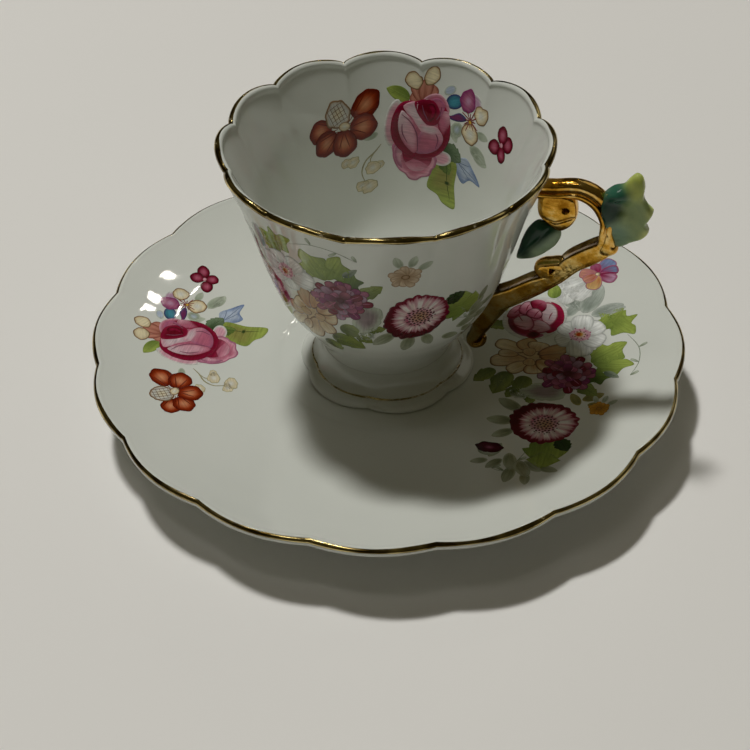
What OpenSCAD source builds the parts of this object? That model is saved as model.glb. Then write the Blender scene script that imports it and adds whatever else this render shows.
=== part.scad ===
// Footed demitasse cup with a gilded leaf-and-scroll handle, standing on its saucer.
// Millimetres. +Z is up, the saucer stands on z = 0 and its axis is the Z axis.
// The handle points along +X. A notch of the cup's rim and one of the saucer's lie in line with it.

/* [Saucer] */
// Width of the saucer over its lobes
saucer_d = 120; // [116:1:130]
// Height of the rim at its notches
saucer_h = 13.7; // [12.7:0.1:15]
// Number of lobes round the rim
saucer_lobes = 16; // [8:4:20]
// How far each lobe stands out past the notches
saucer_lobe_out = 1.3; // [0.4:0.1:2]
// Height of the flat well that the cup stands in
well_h = 7.6; // [7:0.1:8]
// Radius of the well
well_r = 20.6; // [19:0.1:21.5]
// Outer radius of the ring that the saucer stands on
ring_r = 34; // [30:0.5:36]
// Width of that ring at its top
ring_w = 3.4; // [2.5:0.1:5]

/* [Cup] */
// Width of the rim over its lobes
rim_d = 63.7; // [62:0.1:66]
// Height of the cup from the foot to the tops of the rim's lobes
cup_h = 53.1; // [51:0.1:56]
// Number of lobes round the rim
rim_lobes = 12; // [6:2:16]
// How far each lobe stands out past the notches
rim_lobe_out = 1.1; // [0.4:0.1:1.8]
// How far each lobe rises above the notches
rim_lobe_up = 1.3; // [0.4:0.1:2]
// Number of lobes round the foot
foot_lobes = 6; // [4:1:8]
// How far each foot lobe stands out past the notches
foot_lobe_out = 1.3; // [0.4:0.1:1.8]

/* [Handle] */
// Width of the handle's arm
arm_w = 3.4; // [2.8:0.1:4]
// Thickness of the thumb leaf
leaf_t = 2.8; // [2:0.1:3.6]

/* [Decoration] */
// How far gilding and transfers stand proud of the glaze
skin = 0.06; // [0.04:0.01:0.1]
// Gap between the cup's foot and the saucer's well
seat_gap = 0.1; // [0.05:0.05:0.3]

/* [Hidden] */

porcelain = "#f1f1ec";
bisque = "#d9d3c6";
gold = "#b8862b";
leaf_green = "#3f7a5f";

// A station is one point of a round piece's outline: [radius, height, share of the lobes it carries].
// A wave says how a rim is lobed: [number of lobes, angle of one notch, sharpness, out, up].
SAUCER_WAVE = [saucer_lobes, 0, 0.93, saucer_lobe_out, 0.25];
RIM_WAVE = [rim_lobes, 0, 0.72, rim_lobe_out, rim_lobe_up];
FOOT_WAVE = [foot_lobes, 30, 0.8, foot_lobe_out, 0];
ROUND = [1, 0, 1, 0, 0];

saucer_steps = 8 * saucer_lobes;
rim_steps = 8 * rim_lobes;
foot_steps = 12 * foot_lobes;

saucer_r = saucer_d / 2 - saucer_lobe_out;
rim_r = rim_d / 2 - rim_lobe_out;
foot_z = well_h + seat_gap;
rim_z = foot_z + cup_h - rim_lobe_up;
waist_z = foot_z + 6.6;
waist_r = 13.3;
saucer_lip_r = 0.95;
bowl_lip_r = 0.8;
flange_r = 16.5;

// ---- curves ----

// Point at t, 0 to 1, of the smooth curve that passes through b and c, between a and d
function bend(a, b, c, d, t) =
    ((2 * b) + (c - a) * t + (2 * a - 5 * b + 4 * c - d) * t * t + (3 * b - a - 3 * c + d) * t * t * t) / 2;

// A smooth curve through all the points of p, n steps from each to the next
function smooth(p, n) = let (last = len(p) - 1) [
    for (i = [0 : last - 1], k = [0 : n - 1])
        bend(p[max(i - 1, 0)], p[i], p[i + 1], p[min(i + 2, last)], k / n),
    p[last]
];

// Stations round a lip from angle a0 to a1, at the radius rad about the centre [r, z]
function lip(centre, rad, a0, a1, n) = [
    for (k = [0 : n])
        let (a = a0 + (a1 - a0) * k / n)
            [centre[0] + rad * cos(a), centre[1] + rad * sin(a), 1]
];

// 0 in the notches of a wave and 1 on its lobes
function lobe(wave, a) = pow(abs(sin(wave[0] * (a - wave[1]) / 2)), wave[2]);

function place(s, wave, a) = let (h = s[2] * lobe(wave, a), r = s[0] + h * wave[3])
    [r * cos(a), r * sin(a), s[1] + h * wave[4]];

// A curve's stations moved sideways by d, to the right of the way the curve runs
function aside(s, d) = [
    for (i = [0 : len(s) - 1])
        let (run = s[min(i + 1, len(s) - 1)] - s[max(i - 1, 0)], k = d / norm([run[0], run[1]]))
            s[i] + [run[1] * k, -run[0] * k, 0]
];

// ---- solids from stations ----

// A solid of revolution on a wave. Its outline starts and ends on the axis.
module turned(stations, wave, steps) {
    last = len(stations) - 1;
    rings = [for (i = [1 : last - 1], k = [0 : steps - 1]) place(stations[i], wave, 360 * k / steps)];
    start = len(rings);
    function at(i, k) = i * steps + k % steps;
    polyhedron(
        concat(rings, [[0, 0, stations[0][1]], [0, 0, stations[last][1]]]),
        concat(
            [for (k = [0 : steps - 1]) [start, at(0, k), at(0, k + 1)]],
            [for (i = [0 : last - 3], k = [0 : steps - 1]) [at(i, k), at(i + 1, k), at(i + 1, k + 1)]],
            [for (i = [0 : last - 3], k = [0 : steps - 1]) [at(i, k), at(i + 1, k + 1), at(i, k + 1)]],
            [for (k = [0 : steps - 1]) [start + 1, at(last - 2, k + 1), at(last - 2, k)]]
        )
    );
}

// A ring on a wave. Its outline is a closed loop of stations.
module hoop(stations, wave, steps) {
    n = len(stations);
    function at(i, k) = (i % n) * steps + k % steps;
    polyhedron(
        [for (i = [0 : n - 1], k = [0 : steps - 1]) place(stations[i], wave, 360 * k / steps)],
        concat(
            [for (i = [0 : n - 1], k = [0 : steps - 1]) [at(i, k), at(i + 1, k), at(i + 1, k + 1)]],
            [for (i = [0 : n - 1], k = [0 : steps - 1]) [at(i, k), at(i + 1, k + 1), at(i, k + 1)]]
        )
    );
}

// A thin patch that lies on a run of stations, from angle a0 to a1
module patch(stations, wave, a0, a1, steps) {
    rows = len(stations);
    loop = concat(aside(stations, skin), [for (i = [rows - 1 : -1 : 0]) aside(stations, -skin)[i]]);
    n = len(loop);
    function at(k, i) = k * n + i % n;
    polyhedron(
        [for (k = [0 : steps], i = [0 : n - 1]) place(loop[i], wave, a0 + (a1 - a0) * k / steps)],
        concat(
            [for (k = [0 : steps - 1], i = [0 : n - 1]) [at(k, i), at(k, i + 1), at(k + 1, i + 1)]],
            [for (k = [0 : steps - 1], i = [0 : n - 1]) [at(k, i), at(k + 1, i + 1), at(k + 1, i)]],
            [for (i = [0 : rows - 2]) [at(0, i), at(0, n - 1 - i), at(0, i + 1)]],
            [for (i = [0 : rows - 2]) [at(0, i + 1), at(0, n - 1 - i), at(0, n - 2 - i)]],
            [for (i = [0 : rows - 2]) [at(steps, i + 1), at(steps, n - 1 - i), at(steps, i)]],
            [for (i = [0 : rows - 2]) [at(steps, n - 2 - i), at(steps, n - 1 - i), at(steps, i + 1)]]
        )
    );
}

// A rounded limb in the handle's plane. Each point is [x, z, half thickness, half width].
module limb(points, n = 4, sides = 10) {
    p = smooth(points, n);
    last = len(p) - 1;
    function side(i) = let (run = p[min(i + 1, last)] - p[max(i - 1, 0)], length = norm([run[0], run[1]]))
        [-run[1], run[0]] / length;
    function corner(i, k) = let (a = 360 * k / sides, s = side(i) * p[i][2] * cos(a))
        [p[i][0] + s[0], p[i][3] * sin(a), p[i][1] + s[1]];
    function at(i, k) = i * sides + k % sides;
    polyhedron(
        [for (i = [0 : last], k = [0 : sides - 1]) corner(i, k)],
        concat(
            [[for (k = [0 : sides - 1]) at(0, k)], [for (k = [sides - 1 : -1 : 0]) at(last, k)]],
            [for (i = [0 : last - 1], k = [0 : sides - 1]) [at(i, k), at(i + 1, k), at(i + 1, k + 1)]],
            [for (i = [0 : last - 1], k = [0 : sides - 1]) [at(i, k), at(i + 1, k + 1), at(i, k + 1)]]
        )
    );
}

// ---- outlines ----

// The saucer's upper face, from the edge of the well to just inside the rim
saucer_face = smooth([
    [well_r, well_h, 0], [well_r + 1.8, well_h + 0.4, 0], [34, well_h + 0.9, 0], [44, well_h + 2.2, 0.12],
    [52, well_h + 4.3, 0.5], [saucer_r - 1.75, saucer_h - 0.3, 0.95]
], 2);
saucer_lip = [saucer_r - saucer_lip_r, saucer_h - saucer_lip_r];
saucer_back = smooth([
    [saucer_r - 1, saucer_h - saucer_lip_r - 1, 0.95], [52, well_h + 2.2, 0.5],
    [43, well_h - 0.2, 0.1], [34.5, well_h - 2.6, 0]
], 2);

// The bowl's outer face, from the waist up, and its inner face, from the lip down
bowl_face = smooth([
    [waist_r, waist_z, 0], [14.9, waist_z + 3.7, 0], [19, waist_z + 9.7, 0], [21.7, waist_z + 14.7, 0],
    [24.8, waist_z + 24.7, 0.1], [27.4, rim_z - 10.5, 0.4], [rim_r - 0.3, rim_z - 1.1, 0.95]
], 2);
bowl_lip = [rim_r - 0.9, rim_z - bowl_lip_r];
bowl_inside = smooth([
    [rim_r - 1.7, rim_z - 1.2, 0.95], [25, rim_z - 11, 0.35], [22.4, waist_z + 24.7, 0.1],
    [19.2, waist_z + 15, 0], [14.4, waist_z + 8.2, 0], [8, waist_z + 3.8, 0]
], 2);
bowl_floor_z = waist_z + 2.9;

// ---- saucer ----

module saucer() {
    color(porcelain) turned(concat(
        [[0, well_h - 3, 0]],
        [for (i = [len(saucer_back) - 1 : -1 : 0]) saucer_back[i]],
        lip(saucer_lip, saucer_lip_r, -40, 110, 4),
        [for (i = [len(saucer_face) - 1 : -1 : 0]) saucer_face[i]],
        [[0, well_h, 0]]
    ), SAUCER_WAVE, saucer_steps);
}

module saucer_foot_ring() {
    color(bisque) rotate_extrude($fn = 96)
        polygon([
            [ring_r - ring_w, well_h - 2.8], [ring_r - ring_w + 0.9, 0.4], [ring_r - ring_w + 1.3, 0],
            [ring_r - 0.9, 0], [ring_r - 0.5, 0.4], [ring_r, well_h - 2.8]
        ]);
}

// A gold line on a lip, between two angles round it
module gilding(centre, rad, a0, a1, wave, steps) {
    outer = lip(centre, rad + skin, a0, a1, 2);
    inner = lip(centre, rad - skin, a1, a0, 2);
    color(gold) hoop(concat(outer, inner), wave, steps);
}

module saucer_rim_gilding() gilding(saucer_lip, saucer_lip_r, 25, 95, SAUCER_WAVE, saucer_steps);

// Stations of a surface whose radius lies from r0 to r1, in the order that faces the glaze outwards
function between(stations, r0, r1) = [for (s = stations) if (s[0] >= r0 && s[0] <= r1) s];

module saucer_transfer(r0, r1, a0, a1, steps = 8) {
    run = between(saucer_face, r0, r1);
    color("#c2577c") patch([for (i = [len(run) - 1 : -1 : 0]) run[i]], SAUCER_WAVE, a0, a1, steps);
}

module saucer_rose_spray() saucer_transfer(26, 53, 167, 219, 10);
module saucer_blossom() saucer_transfer(43, 49, 159, 166, 2);
module saucer_bouquet() saucer_transfer(21, 57, -37, 48, 16);
module saucer_bud() saucer_transfer(33, 40, -45, -38, 2);

// ---- cup ----

module cup_bowl() {
    color(porcelain) turned(concat(
        [[0, waist_z, 0]],
        bowl_face,
        lip(bowl_lip, bowl_lip_r, 10, 170, 4),
        bowl_inside,
        [[0, bowl_floor_z, 0]]
    ), RIM_WAVE, rim_steps);
}

module cup_foot() {
    color(porcelain) turned([
        [0, foot_z + 3.6, 0], [10.6, foot_z + 3.6, 0], [11.9, foot_z + 2.6, 0], [12.8, foot_z + 0.4, 0.2],
        [13.6, foot_z, 0.4], [flange_r - 0.4, foot_z, 1], [flange_r, foot_z + 0.4, 1],
        [flange_r - 0.4, foot_z + 1, 0.95],
        [14.7, foot_z + 1.6, 0.4], [14, foot_z + 3, 0.2], [13.4, foot_z + 4.8, 0],
        [waist_r, waist_z, 0], [0, waist_z, 0]
    ], FOOT_WAVE, foot_steps);
}

module cup_rim_gilding() gilding(bowl_lip, bowl_lip_r, 5, 65, RIM_WAVE, rim_steps);
// The foot's line lies where its lobes have faded by more than half
module cup_foot_gilding() {
    faded_wave = [foot_lobes, 30, 0.8, 0.5, 0];
    gilding([14.55, foot_z + 1.45], 0.3, 0, 90, faded_wave, foot_steps);
}

// Stations of a surface whose height lies from z0 to z1
function rising(stations, z0, z1) = [for (s = stations) if (s[1] >= z0 && s[1] <= z1) s];

module cup_transfer(stations, z0, z1, a0, a1, steps) {
    color("#c2577c") patch(rising(stations, z0, z1), RIM_WAVE, a0, a1, steps);
}

module cup_flower_spray() cup_transfer(bowl_face, 28, 55, -172, -87, 18);
module cup_daisy_spray() cup_transfer(bowl_face, 28, 43, -85, -30, 10);
module cup_sprig() cup_transfer(bowl_face, 44, 54, -77, -62, 3);
module cup_inside_spray() cup_transfer(bowl_inside, 34, 58, 53, 140, 14);
module cup_inside_blossom() cup_transfer(bowl_inside, 46, 54, 40, 49, 2);

// ---- handle ----

half_w = arm_w / 2;
// How far from the cup's axis the arm's two ends lie, within the bowl's wall
top_end = 28.2;
low_end = 21.4;

module handle_scroll() {
    color(gold) limb([
        [top_end, 54.3, 1.7, half_w], [32, 54.7, 1.8, half_w], [36.5, 55.3, 1.85, half_w],
        [40.1, 53.5, 1.9, half_w], [41.9, 49.9, 1.5, half_w], [42, 46.8, 1.2, half_w],
        [42.1, 43.6, 1.8, half_w], [40, 41, 1.6, half_w], [36.7, 38.2, 1.4, half_w],
        [33.2, 35, 1.7, half_w], [29.5, 32, 2.1, half_w], [25.5, 29, 2.2, half_w],
        [low_end, 26.4, 2.5, half_w]
    ]);
}

// The scroll's eye goes right through it
module handle_volute() {
    color(gold) difference() {
        rotate([90, 0, 0]) linear_extrude(arm_w - 0.2, center = true) offset(r = 1.2, $fn = 24)
            polygon([[30.2, 52.6], [30.5, 49.6], [32.9, 46.9], [34.8, 49.4], [35, 52.4]]);
        translate([34.2, 0, 50.8])
            rotate([90, 0, 0]) cylinder(h = arm_w + 2, r = 0.6, center = true, $fn = 24);
    }
}

module handle_curl() {
    color(gold) translate([31.2, 0, 35.6])
        rotate([90, 0, 0]) cylinder(h = arm_w, r = 1.7, center = true, $fn = 40);
}

module handle_tail() {
    color(gold) limb([
        [22.8, 27, 2.3, 1.5], [20, 22.6, 2.1, 1.5], [18.7, 19.3, 2.1, 1.4], [17.6, 16.9, 1.8, 1.3],
        [15.6, 15.3, 0.9, 1.1]
    ], 3, 8);
}

module inner_leaf() {
    color(leaf_green) limb([
        [31.6, 46.6, 1, 1.2], [30.6, 43.8, 2.1, 1.7], [29.1, 41.3, 1.9, 1.6], [27.3, 39.3, 1.2, 1.1],
        [25.4, 38, 0.4, 0.5]
    ], 3, 8);
}

// A vine leaf that stands out from the back of the arm
module thumb_leaf() {
    outline = smooth([
        [41.6, 55.6], [44.4, 57.9], [45.6, 59.6], [46.9, 60.1], [47.9, 58.4], [48.2, 54.6], [50, 52.6],
        [49.5, 49.9], [49.7, 47.9], [48.4, 46], [46, 44.5], [43, 43.2], [42, 46.8], [41.9, 50], [41, 53]
    ], 3);
    color(leaf_green) rotate([90, 0, 0]) linear_extrude(leaf_t, center = true) polygon(outline);
}

saucer();
saucer_foot_ring();
saucer_rim_gilding();
saucer_rose_spray();
saucer_blossom();
saucer_bouquet();
saucer_bud();
cup_bowl();
cup_foot();
cup_rim_gilding();
cup_foot_gilding();
handle_scroll();
handle_volute();
handle_curl();
handle_tail();
inner_leaf();
thumb_leaf();
cup_flower_spray();
cup_daisy_spray();
cup_sprig();
cup_inside_spray();
cup_inside_blossom();
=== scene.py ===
"""The looks of a footed demitasse cup and its saucer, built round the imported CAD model.

Lengths are in millimetres until a mesh is built, which turns them into metres. The materials, the lights,
the table and the camera use metres, but the enamel's brush strokes are in millimetres.
"""

import math
from collections import namedtuple

import bpy
import numpy as np
from mathutils import Matrix, Vector


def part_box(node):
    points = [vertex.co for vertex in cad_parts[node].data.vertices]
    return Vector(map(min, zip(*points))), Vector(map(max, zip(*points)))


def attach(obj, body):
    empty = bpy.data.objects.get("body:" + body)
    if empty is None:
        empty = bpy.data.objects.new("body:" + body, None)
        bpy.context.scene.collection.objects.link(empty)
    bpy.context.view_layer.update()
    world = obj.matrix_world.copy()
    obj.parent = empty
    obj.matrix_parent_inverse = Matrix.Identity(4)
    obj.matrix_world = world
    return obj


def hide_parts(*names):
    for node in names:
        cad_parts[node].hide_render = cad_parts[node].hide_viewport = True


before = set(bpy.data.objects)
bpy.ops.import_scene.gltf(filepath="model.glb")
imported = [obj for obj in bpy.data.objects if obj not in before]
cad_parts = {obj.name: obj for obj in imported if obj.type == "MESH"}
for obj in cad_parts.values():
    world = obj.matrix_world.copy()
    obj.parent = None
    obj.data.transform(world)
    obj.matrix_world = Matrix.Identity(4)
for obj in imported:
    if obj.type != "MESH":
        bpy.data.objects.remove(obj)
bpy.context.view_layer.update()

MM = 0.001


# ---- sizes, taken from the frame ----


def box_mm(node):
    """A CAD node's lowest and highest corners."""
    low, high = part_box(node)
    return np.array(low) / MM, np.array(high) / MM


def reach(node):
    """How far a CAD node reaches from the cup's axis."""
    points = np.array([v.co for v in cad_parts[node].data.vertices])
    return np.hypot(points[:, 0], points[:, 1]).max() / MM


# How a rim is lobed: how many lobes, the angle of one notch in degrees, the power of the sine that shapes
# them, and how far they stand out and up
Wave = namedtuple("Wave", "lobes notch power out up")
SAUCER_WAVE = Wave(16, 0, 0.93, 1.3, 0.25)
RIM_WAVE = Wave(12, 0, 0.72, 1.1, 1.3)
FOOT_WAVE = Wave(6, 30, 0.8, 1.3, 0)
FOOT_LINE_WAVE = FOOT_WAVE._replace(out=0.58)
SEAT_GAP = 0.1

# The rims' radii and heights in their notches, the heights of the foot's two ends and of the saucer's well,
# and half the handle's width
saucer_r = reach("saucer") - SAUCER_WAVE.out
saucer_h = box_mm("saucer")[1][2] - SAUCER_WAVE.up
rim_r = reach("cup_bowl") - RIM_WAVE.out
rim_z = box_mm("cup_bowl")[1][2] - RIM_WAVE.up
foot_z, waist_z = (corner[2] for corner in box_mm("cup_foot"))
well_h = foot_z - SEAT_GAP
flange_r = reach("cup_foot") - FOOT_WAVE.out
half_w = box_mm("handle_curl")[1][1]


# ---- curves ----


def smooth(points, n):
    """A smooth curve through all the points, n steps from each to the next."""
    p = np.array(points, float)
    padded = np.vstack([p[:1], p, p[-1:]])
    t = np.linspace(0, 1, n, endpoint=False)[:, None]
    runs = []
    for a, b, c, d in zip(padded, padded[1:], padded[2:], padded[3:]):
        cubic = (3 * b - a - 3 * c + d) * t**3
        runs.append((2 * b + (c - a) * t + (2 * a - 5 * b + 4 * c - d) * t**2 + cubic) / 2)
    return np.vstack(runs + [p[-1:]])


def smooth_loop(points, n):
    """A smooth closed curve through all the points."""
    p = np.array(points, float)
    wrapped = np.vstack([p[-1:], p, p[:2]])
    return smooth(wrapped, n)[n : -n - 1]


def lip(centre, radius, start, end, n):
    """Stations round a lip, between two angles."""
    a = np.radians(np.linspace(start, end, n))
    return np.stack([centre[0] + radius * np.cos(a), centre[1] + radius * np.sin(a), np.ones(n)], 1)


def lobe(wave, angle):
    """0 in the notches of a wave and 1 on its lobes. The angle is in radians."""
    return np.abs(np.sin(wave.lobes * (angle - math.radians(wave.notch)) / 2)) ** wave.power


def place(stations, wave, angle):
    """Points at an angle for stations of [radius, height, share of the lobes they carry]."""
    h = stations[..., 2] * lobe(wave, angle)
    r = stations[..., 0] + h * wave.out
    return np.stack([r * np.cos(angle), r * np.sin(angle), stations[..., 1] + h * wave.up], -1)


def ease(x):
    """A smooth step from 0 to 1."""
    x = np.clip(x, 0, 1)
    return x * x * (3 - 2 * x)


def turn_by(x, y, degrees):
    """A point or points turned about the origin."""
    c, s = math.cos(math.radians(degrees)), math.sin(math.radians(degrees))
    return c * x - s * y, s * x + c * y


def sides_of(run):
    """Unit vectors to the left of each step of a flat curve."""
    return np.stack([-run[:, 1], run[:, 0]], 1) / np.linalg.norm(run, axis=1)[:, None]


# ---- outlines of the ware, as in the CAD model ----

SAUCER_LIP_R, BOWL_LIP_R = 0.95, 0.8
SAUCER_LIP = (saucer_r - SAUCER_LIP_R, saucer_h - SAUCER_LIP_R)
BOWL_LIP = (rim_r - 0.9, rim_z - BOWL_LIP_R)
BOWL_FLOOR = waist_z + 2.9
WELL_R = 19

saucer_face = smooth([
    (WELL_R, well_h, 0), (21.4, well_h + 0.12, 0), (24.5, well_h + 0.5, 0), (34, well_h + 0.9, 0),
    (44, well_h + 2.15, 0.12), (52, well_h + 4.12, 0.5), (saucer_r - 1.75, saucer_h - 0.3, 0.95),
], 16)
saucer_back = smooth([
    (34.5, well_h - 2.6, 0), (43, well_h - 0.2, 0.1), (52, well_h + 2.2, 0.5),
    (saucer_r - 1, saucer_h - SAUCER_LIP_R - 1, 0.95),
], 12)
bowl_face = smooth([
    (13.3, waist_z, 0), (14.9, waist_z + 3.7, 0), (19, waist_z + 9.7, 0), (21.7, waist_z + 14.7, 0),
    (24.8, waist_z + 24.7, 0.1), (27.4, rim_z - 10.5, 0.4), (rim_r - 0.3, rim_z - 1.1, 0.95),
], 14)
bowl_inside = smooth([
    (rim_r - 1.7, rim_z - 1.2, 0.95), (25, rim_z - 11, 0.22), (22.4, waist_z + 24.7, 0.05),
    (19.2, waist_z + 15, 0), (14.4, waist_z + 8.2, 0), (8, waist_z + 3.8, 0),
], 14)


# ---- meshes ----


def build(name, points, faces, colours=None, brush=None):
    """A smooth-shaded mesh object. Colours and brush directions are kept for its material."""
    mesh = bpy.data.meshes.new(name)
    mesh.from_pydata((np.asarray(points) * MM).tolist(), [], faces)
    mesh.shade_smooth()
    if colours is not None:
        paint = mesh.color_attributes.new("paint", "FLOAT_COLOR", "POINT")
        rgba = np.hstack([colours, np.ones((len(colours), 1))])
        paint.data.foreach_set("color", rgba.astype(np.float32).ravel())
    if brush is not None:
        stroke = mesh.attributes.new("brush", "FLOAT_VECTOR", "POINT")
        stroke.data.foreach_set("vector", brush.astype(np.float32).ravel())
    obj = bpy.data.objects.new(name, mesh)
    bpy.context.scene.collection.objects.link(obj)
    return obj


def quads(rows, cols, loop_rows=False):
    """Faces of a grid whose columns close into a ring, and whose rows may too."""
    i = np.arange(rows if loop_rows else rows - 1)[:, None]
    k = np.arange(cols)[None, :]
    down, across = (i + 1) % rows, (k + 1) % cols
    cells = [i * cols + k, i * cols + across, down * cols + across, down * cols + k]
    return np.stack([np.broadcast_to(c, (len(i), cols)) for c in cells], -1).reshape(-1, 4)


def fan(tip, start, n, flip=False):
    """Triangles from one point to a ring of n points."""
    near, far = np.arange(n), (np.arange(n) + 1) % n
    if flip:
        near, far = far, near
    return [[tip, start + a, start + b] for a, b in zip(near.tolist(), far.tolist())]


def turned(name, stations, wave, per_lobe, closed=False):
    """A solid of revolution on a wave. Its outline is a closed loop, or starts and ends on the axis."""
    stations = np.array(stations, float)
    body = stations if closed else stations[1:-1]
    steps = wave.lobes * per_lobe
    angle = np.linspace(0, 2 * np.pi, steps, endpoint=False)
    points = place(body[:, None, :], wave, angle[None, :]).reshape(-1, 3)
    faces = quads(len(body), steps, closed).tolist()
    if not closed:
        first, last = len(points), len(points) + 1
        points = np.vstack([points, [[0, 0, stations[0][1]], [0, 0, stations[-1][1]]]])
        faces += fan(first, 0, steps, flip=True) + fan(last, (len(body) - 1) * steps, steps)
    return build(name, points, faces)


def axis_disc(z, r, n):
    """Stations of a flat face from the axis out to a radius."""
    return [(r * i / n, z, 0) for i in range(n)]


# ---- the ware ----


def make_saucer():
    outline = (
        axis_disc(well_h - 3, 34, 8)
        + saucer_back.tolist()
        + lip(SAUCER_LIP, SAUCER_LIP_R, -40, 112, 16).tolist()
        + saucer_face[::-1].tolist()
        + axis_disc(well_h, WELL_R - 1, 8)[::-1]
    )
    return turned("saucer_dish", outline, SAUCER_WAVE, 24)


def make_saucer_ring():
    """The ring that the saucer stands on, rounded where it meets the table."""
    top, middle, half, foot = well_h - 2.6, 32.35, 0.95, 0.7
    arc = np.linspace(0.2, math.pi - 0.2, 9)
    outline = [(30.6, top, 0), (middle - half, foot, 0)]
    outline += [(middle - half * math.cos(a), foot - foot * math.sin(a), 0) for a in arc]
    outline += [(middle + half, foot, 0), (34, top, 0)]
    return turned("saucer_ring", outline, SAUCER_WAVE, 12, closed=True)


def make_bowl():
    outline = (
        axis_disc(waist_z, 13, 4)
        + bowl_face.tolist()
        + lip(BOWL_LIP, BOWL_LIP_R, -5, 185, 18).tolist()
        + bowl_inside.tolist()
        + axis_disc(BOWL_FLOOR, 6, 6)[::-1]
    )
    return turned("cup_shell", outline, RIM_WAVE, 28)


def make_foot():
    skirt = smooth([
        (10.6, foot_z + 3.6, 0), (11.9, foot_z + 2.6, 0), (12.8, foot_z + 0.5, 0.2), (13.6, foot_z, 0.4),
        (flange_r - 0.5, foot_z + 0.02, 1), (flange_r, foot_z + 0.45, 1),
        (flange_r - 0.5, foot_z + 1.05, 0.95), (14.85, foot_z + 1.6, 0.5), (14, foot_z + 3, 0.2),
        (13.45, foot_z + 4.8, 0), (13.3, waist_z, 0),
    ], 6)
    outline = axis_disc(foot_z + 3.6, 10, 4) + skirt.tolist() + [(0, waist_z, 0)]
    return turned("cup_pedestal", outline, FOOT_WAVE, 48)


def make_gold_line(name, centre, radius, start, end, wave, per_lobe, seed):
    """A brushed gold line on a lip, a little uneven in width."""
    weights = np.random.default_rng(seed).normal(size=(4, 2))
    steps = wave.lobes * per_lobe
    angle = np.linspace(0, 2 * np.pi, steps, endpoint=False)
    drift = sum(a * np.cos(4 * k * angle) + b * np.sin(4 * k * angle) for k, (a, b) in enumerate(weights, 3))
    edge, crown, sink, sway = 0.005, 0.05, 0.04, 2.5
    across = np.linspace(0, 1, 9)
    rise = edge + crown * np.sqrt(np.clip(np.sin(np.pi * across), 0, 1))
    tracks = [(share, lift, sway) for share, lift in zip(across, rise)] + [(1, -sink, 0), (0, -sink, 0)]
    rows = []
    for share, lift, swing in tracks:
        a = np.radians(start + (end - start) * share + swing * drift * (2 * share - 1))
        r, z = centre[0] + (radius + lift) * np.cos(a), centre[1] + (radius + lift) * np.sin(a)
        rows.append(place(np.stack([r, z, np.ones(steps)], 1), wave, angle))
    return build(name, np.vstack(rows), quads(len(rows), steps, True)[:, ::-1].tolist())


# ---- the handle ----

# The limbs' middle lines: [x, z, half thickness, half width]
ARM = [
    (x, z, thick, half_w)
    for x, z, thick in (
        (28.2, 54.3, 1.7), (32, 54.7, 1.8), (36.5, 55.3, 1.85), (40.1, 53.5, 1.9), (41.9, 49.9, 1.5),
        (42, 46.8, 1.3), (42.1, 43.6, 1.8), (39.7, 41.3, 2.1), (36.3, 38.6, 2), (33.4, 34.9, 1.6),
        (29.5, 32, 2.1), (25.5, 29, 2.2), (21.4, 26.4, 2.5),
    )
]
TAIL = [
    (23.4, 28, 2.4, 1.5), (21.2, 24.2, 2.2, 1.5), (19.6, 20.8, 1.9, 1.45), (18.4, 17.8, 1.5, 1.4),
    (17.4, 15.9, 1.1, 1.3), (18.1, 14.9, 0.9, 1.2), (19.5, 15.6, 0.8, 1.1), (20, 17, 0.5, 0.8),
]
# Half sections of a limb: [towards the outside of the handle, across], as shares of its half sizes
TUBE_OVER_LEDGE = [
    (1, 0), (0.95, 0.36), (0.8, 0.66), (0.55, 0.86), (0.25, 0.9), (0.05, 0.78), (-0.08, 0.56),
    (-0.2, 0.6), (-0.27, 0.92), (-0.4, 1), (-0.62, 1), (-0.72, 0.84), (-0.82, 0.84), (-0.94, 0.72),
    (-1, 0.4), (-0.98, 0),
]
FLAT_BAND = [
    (1, 0), (0.97, 0.4), (0.86, 0.75), (0.5, 0.97), (0, 1), (-0.5, 1), (-0.84, 0.98), (-1, 0.84),
    (-0.94, 0.5), (-0.88, 0),
]
PLAIN_ROUND = [(math.cos(a), math.sin(a)) for a in np.linspace(0, math.pi, 9)]


def ring_of(half_section, sides):
    """A whole section of evenly spaced points, from half of one."""
    curve = smooth(half_section, 8)
    way = np.concatenate([[0], np.cumsum(np.linalg.norm(np.diff(curve, axis=0), axis=1))])
    even = np.linspace(0, way[-1], sides // 2 + 1)
    half = np.stack([np.interp(even, way, curve[:, i]) for i in range(2)], 1)
    return np.vstack([half, half[-2:0:-1] * (1, -1)])


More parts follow.
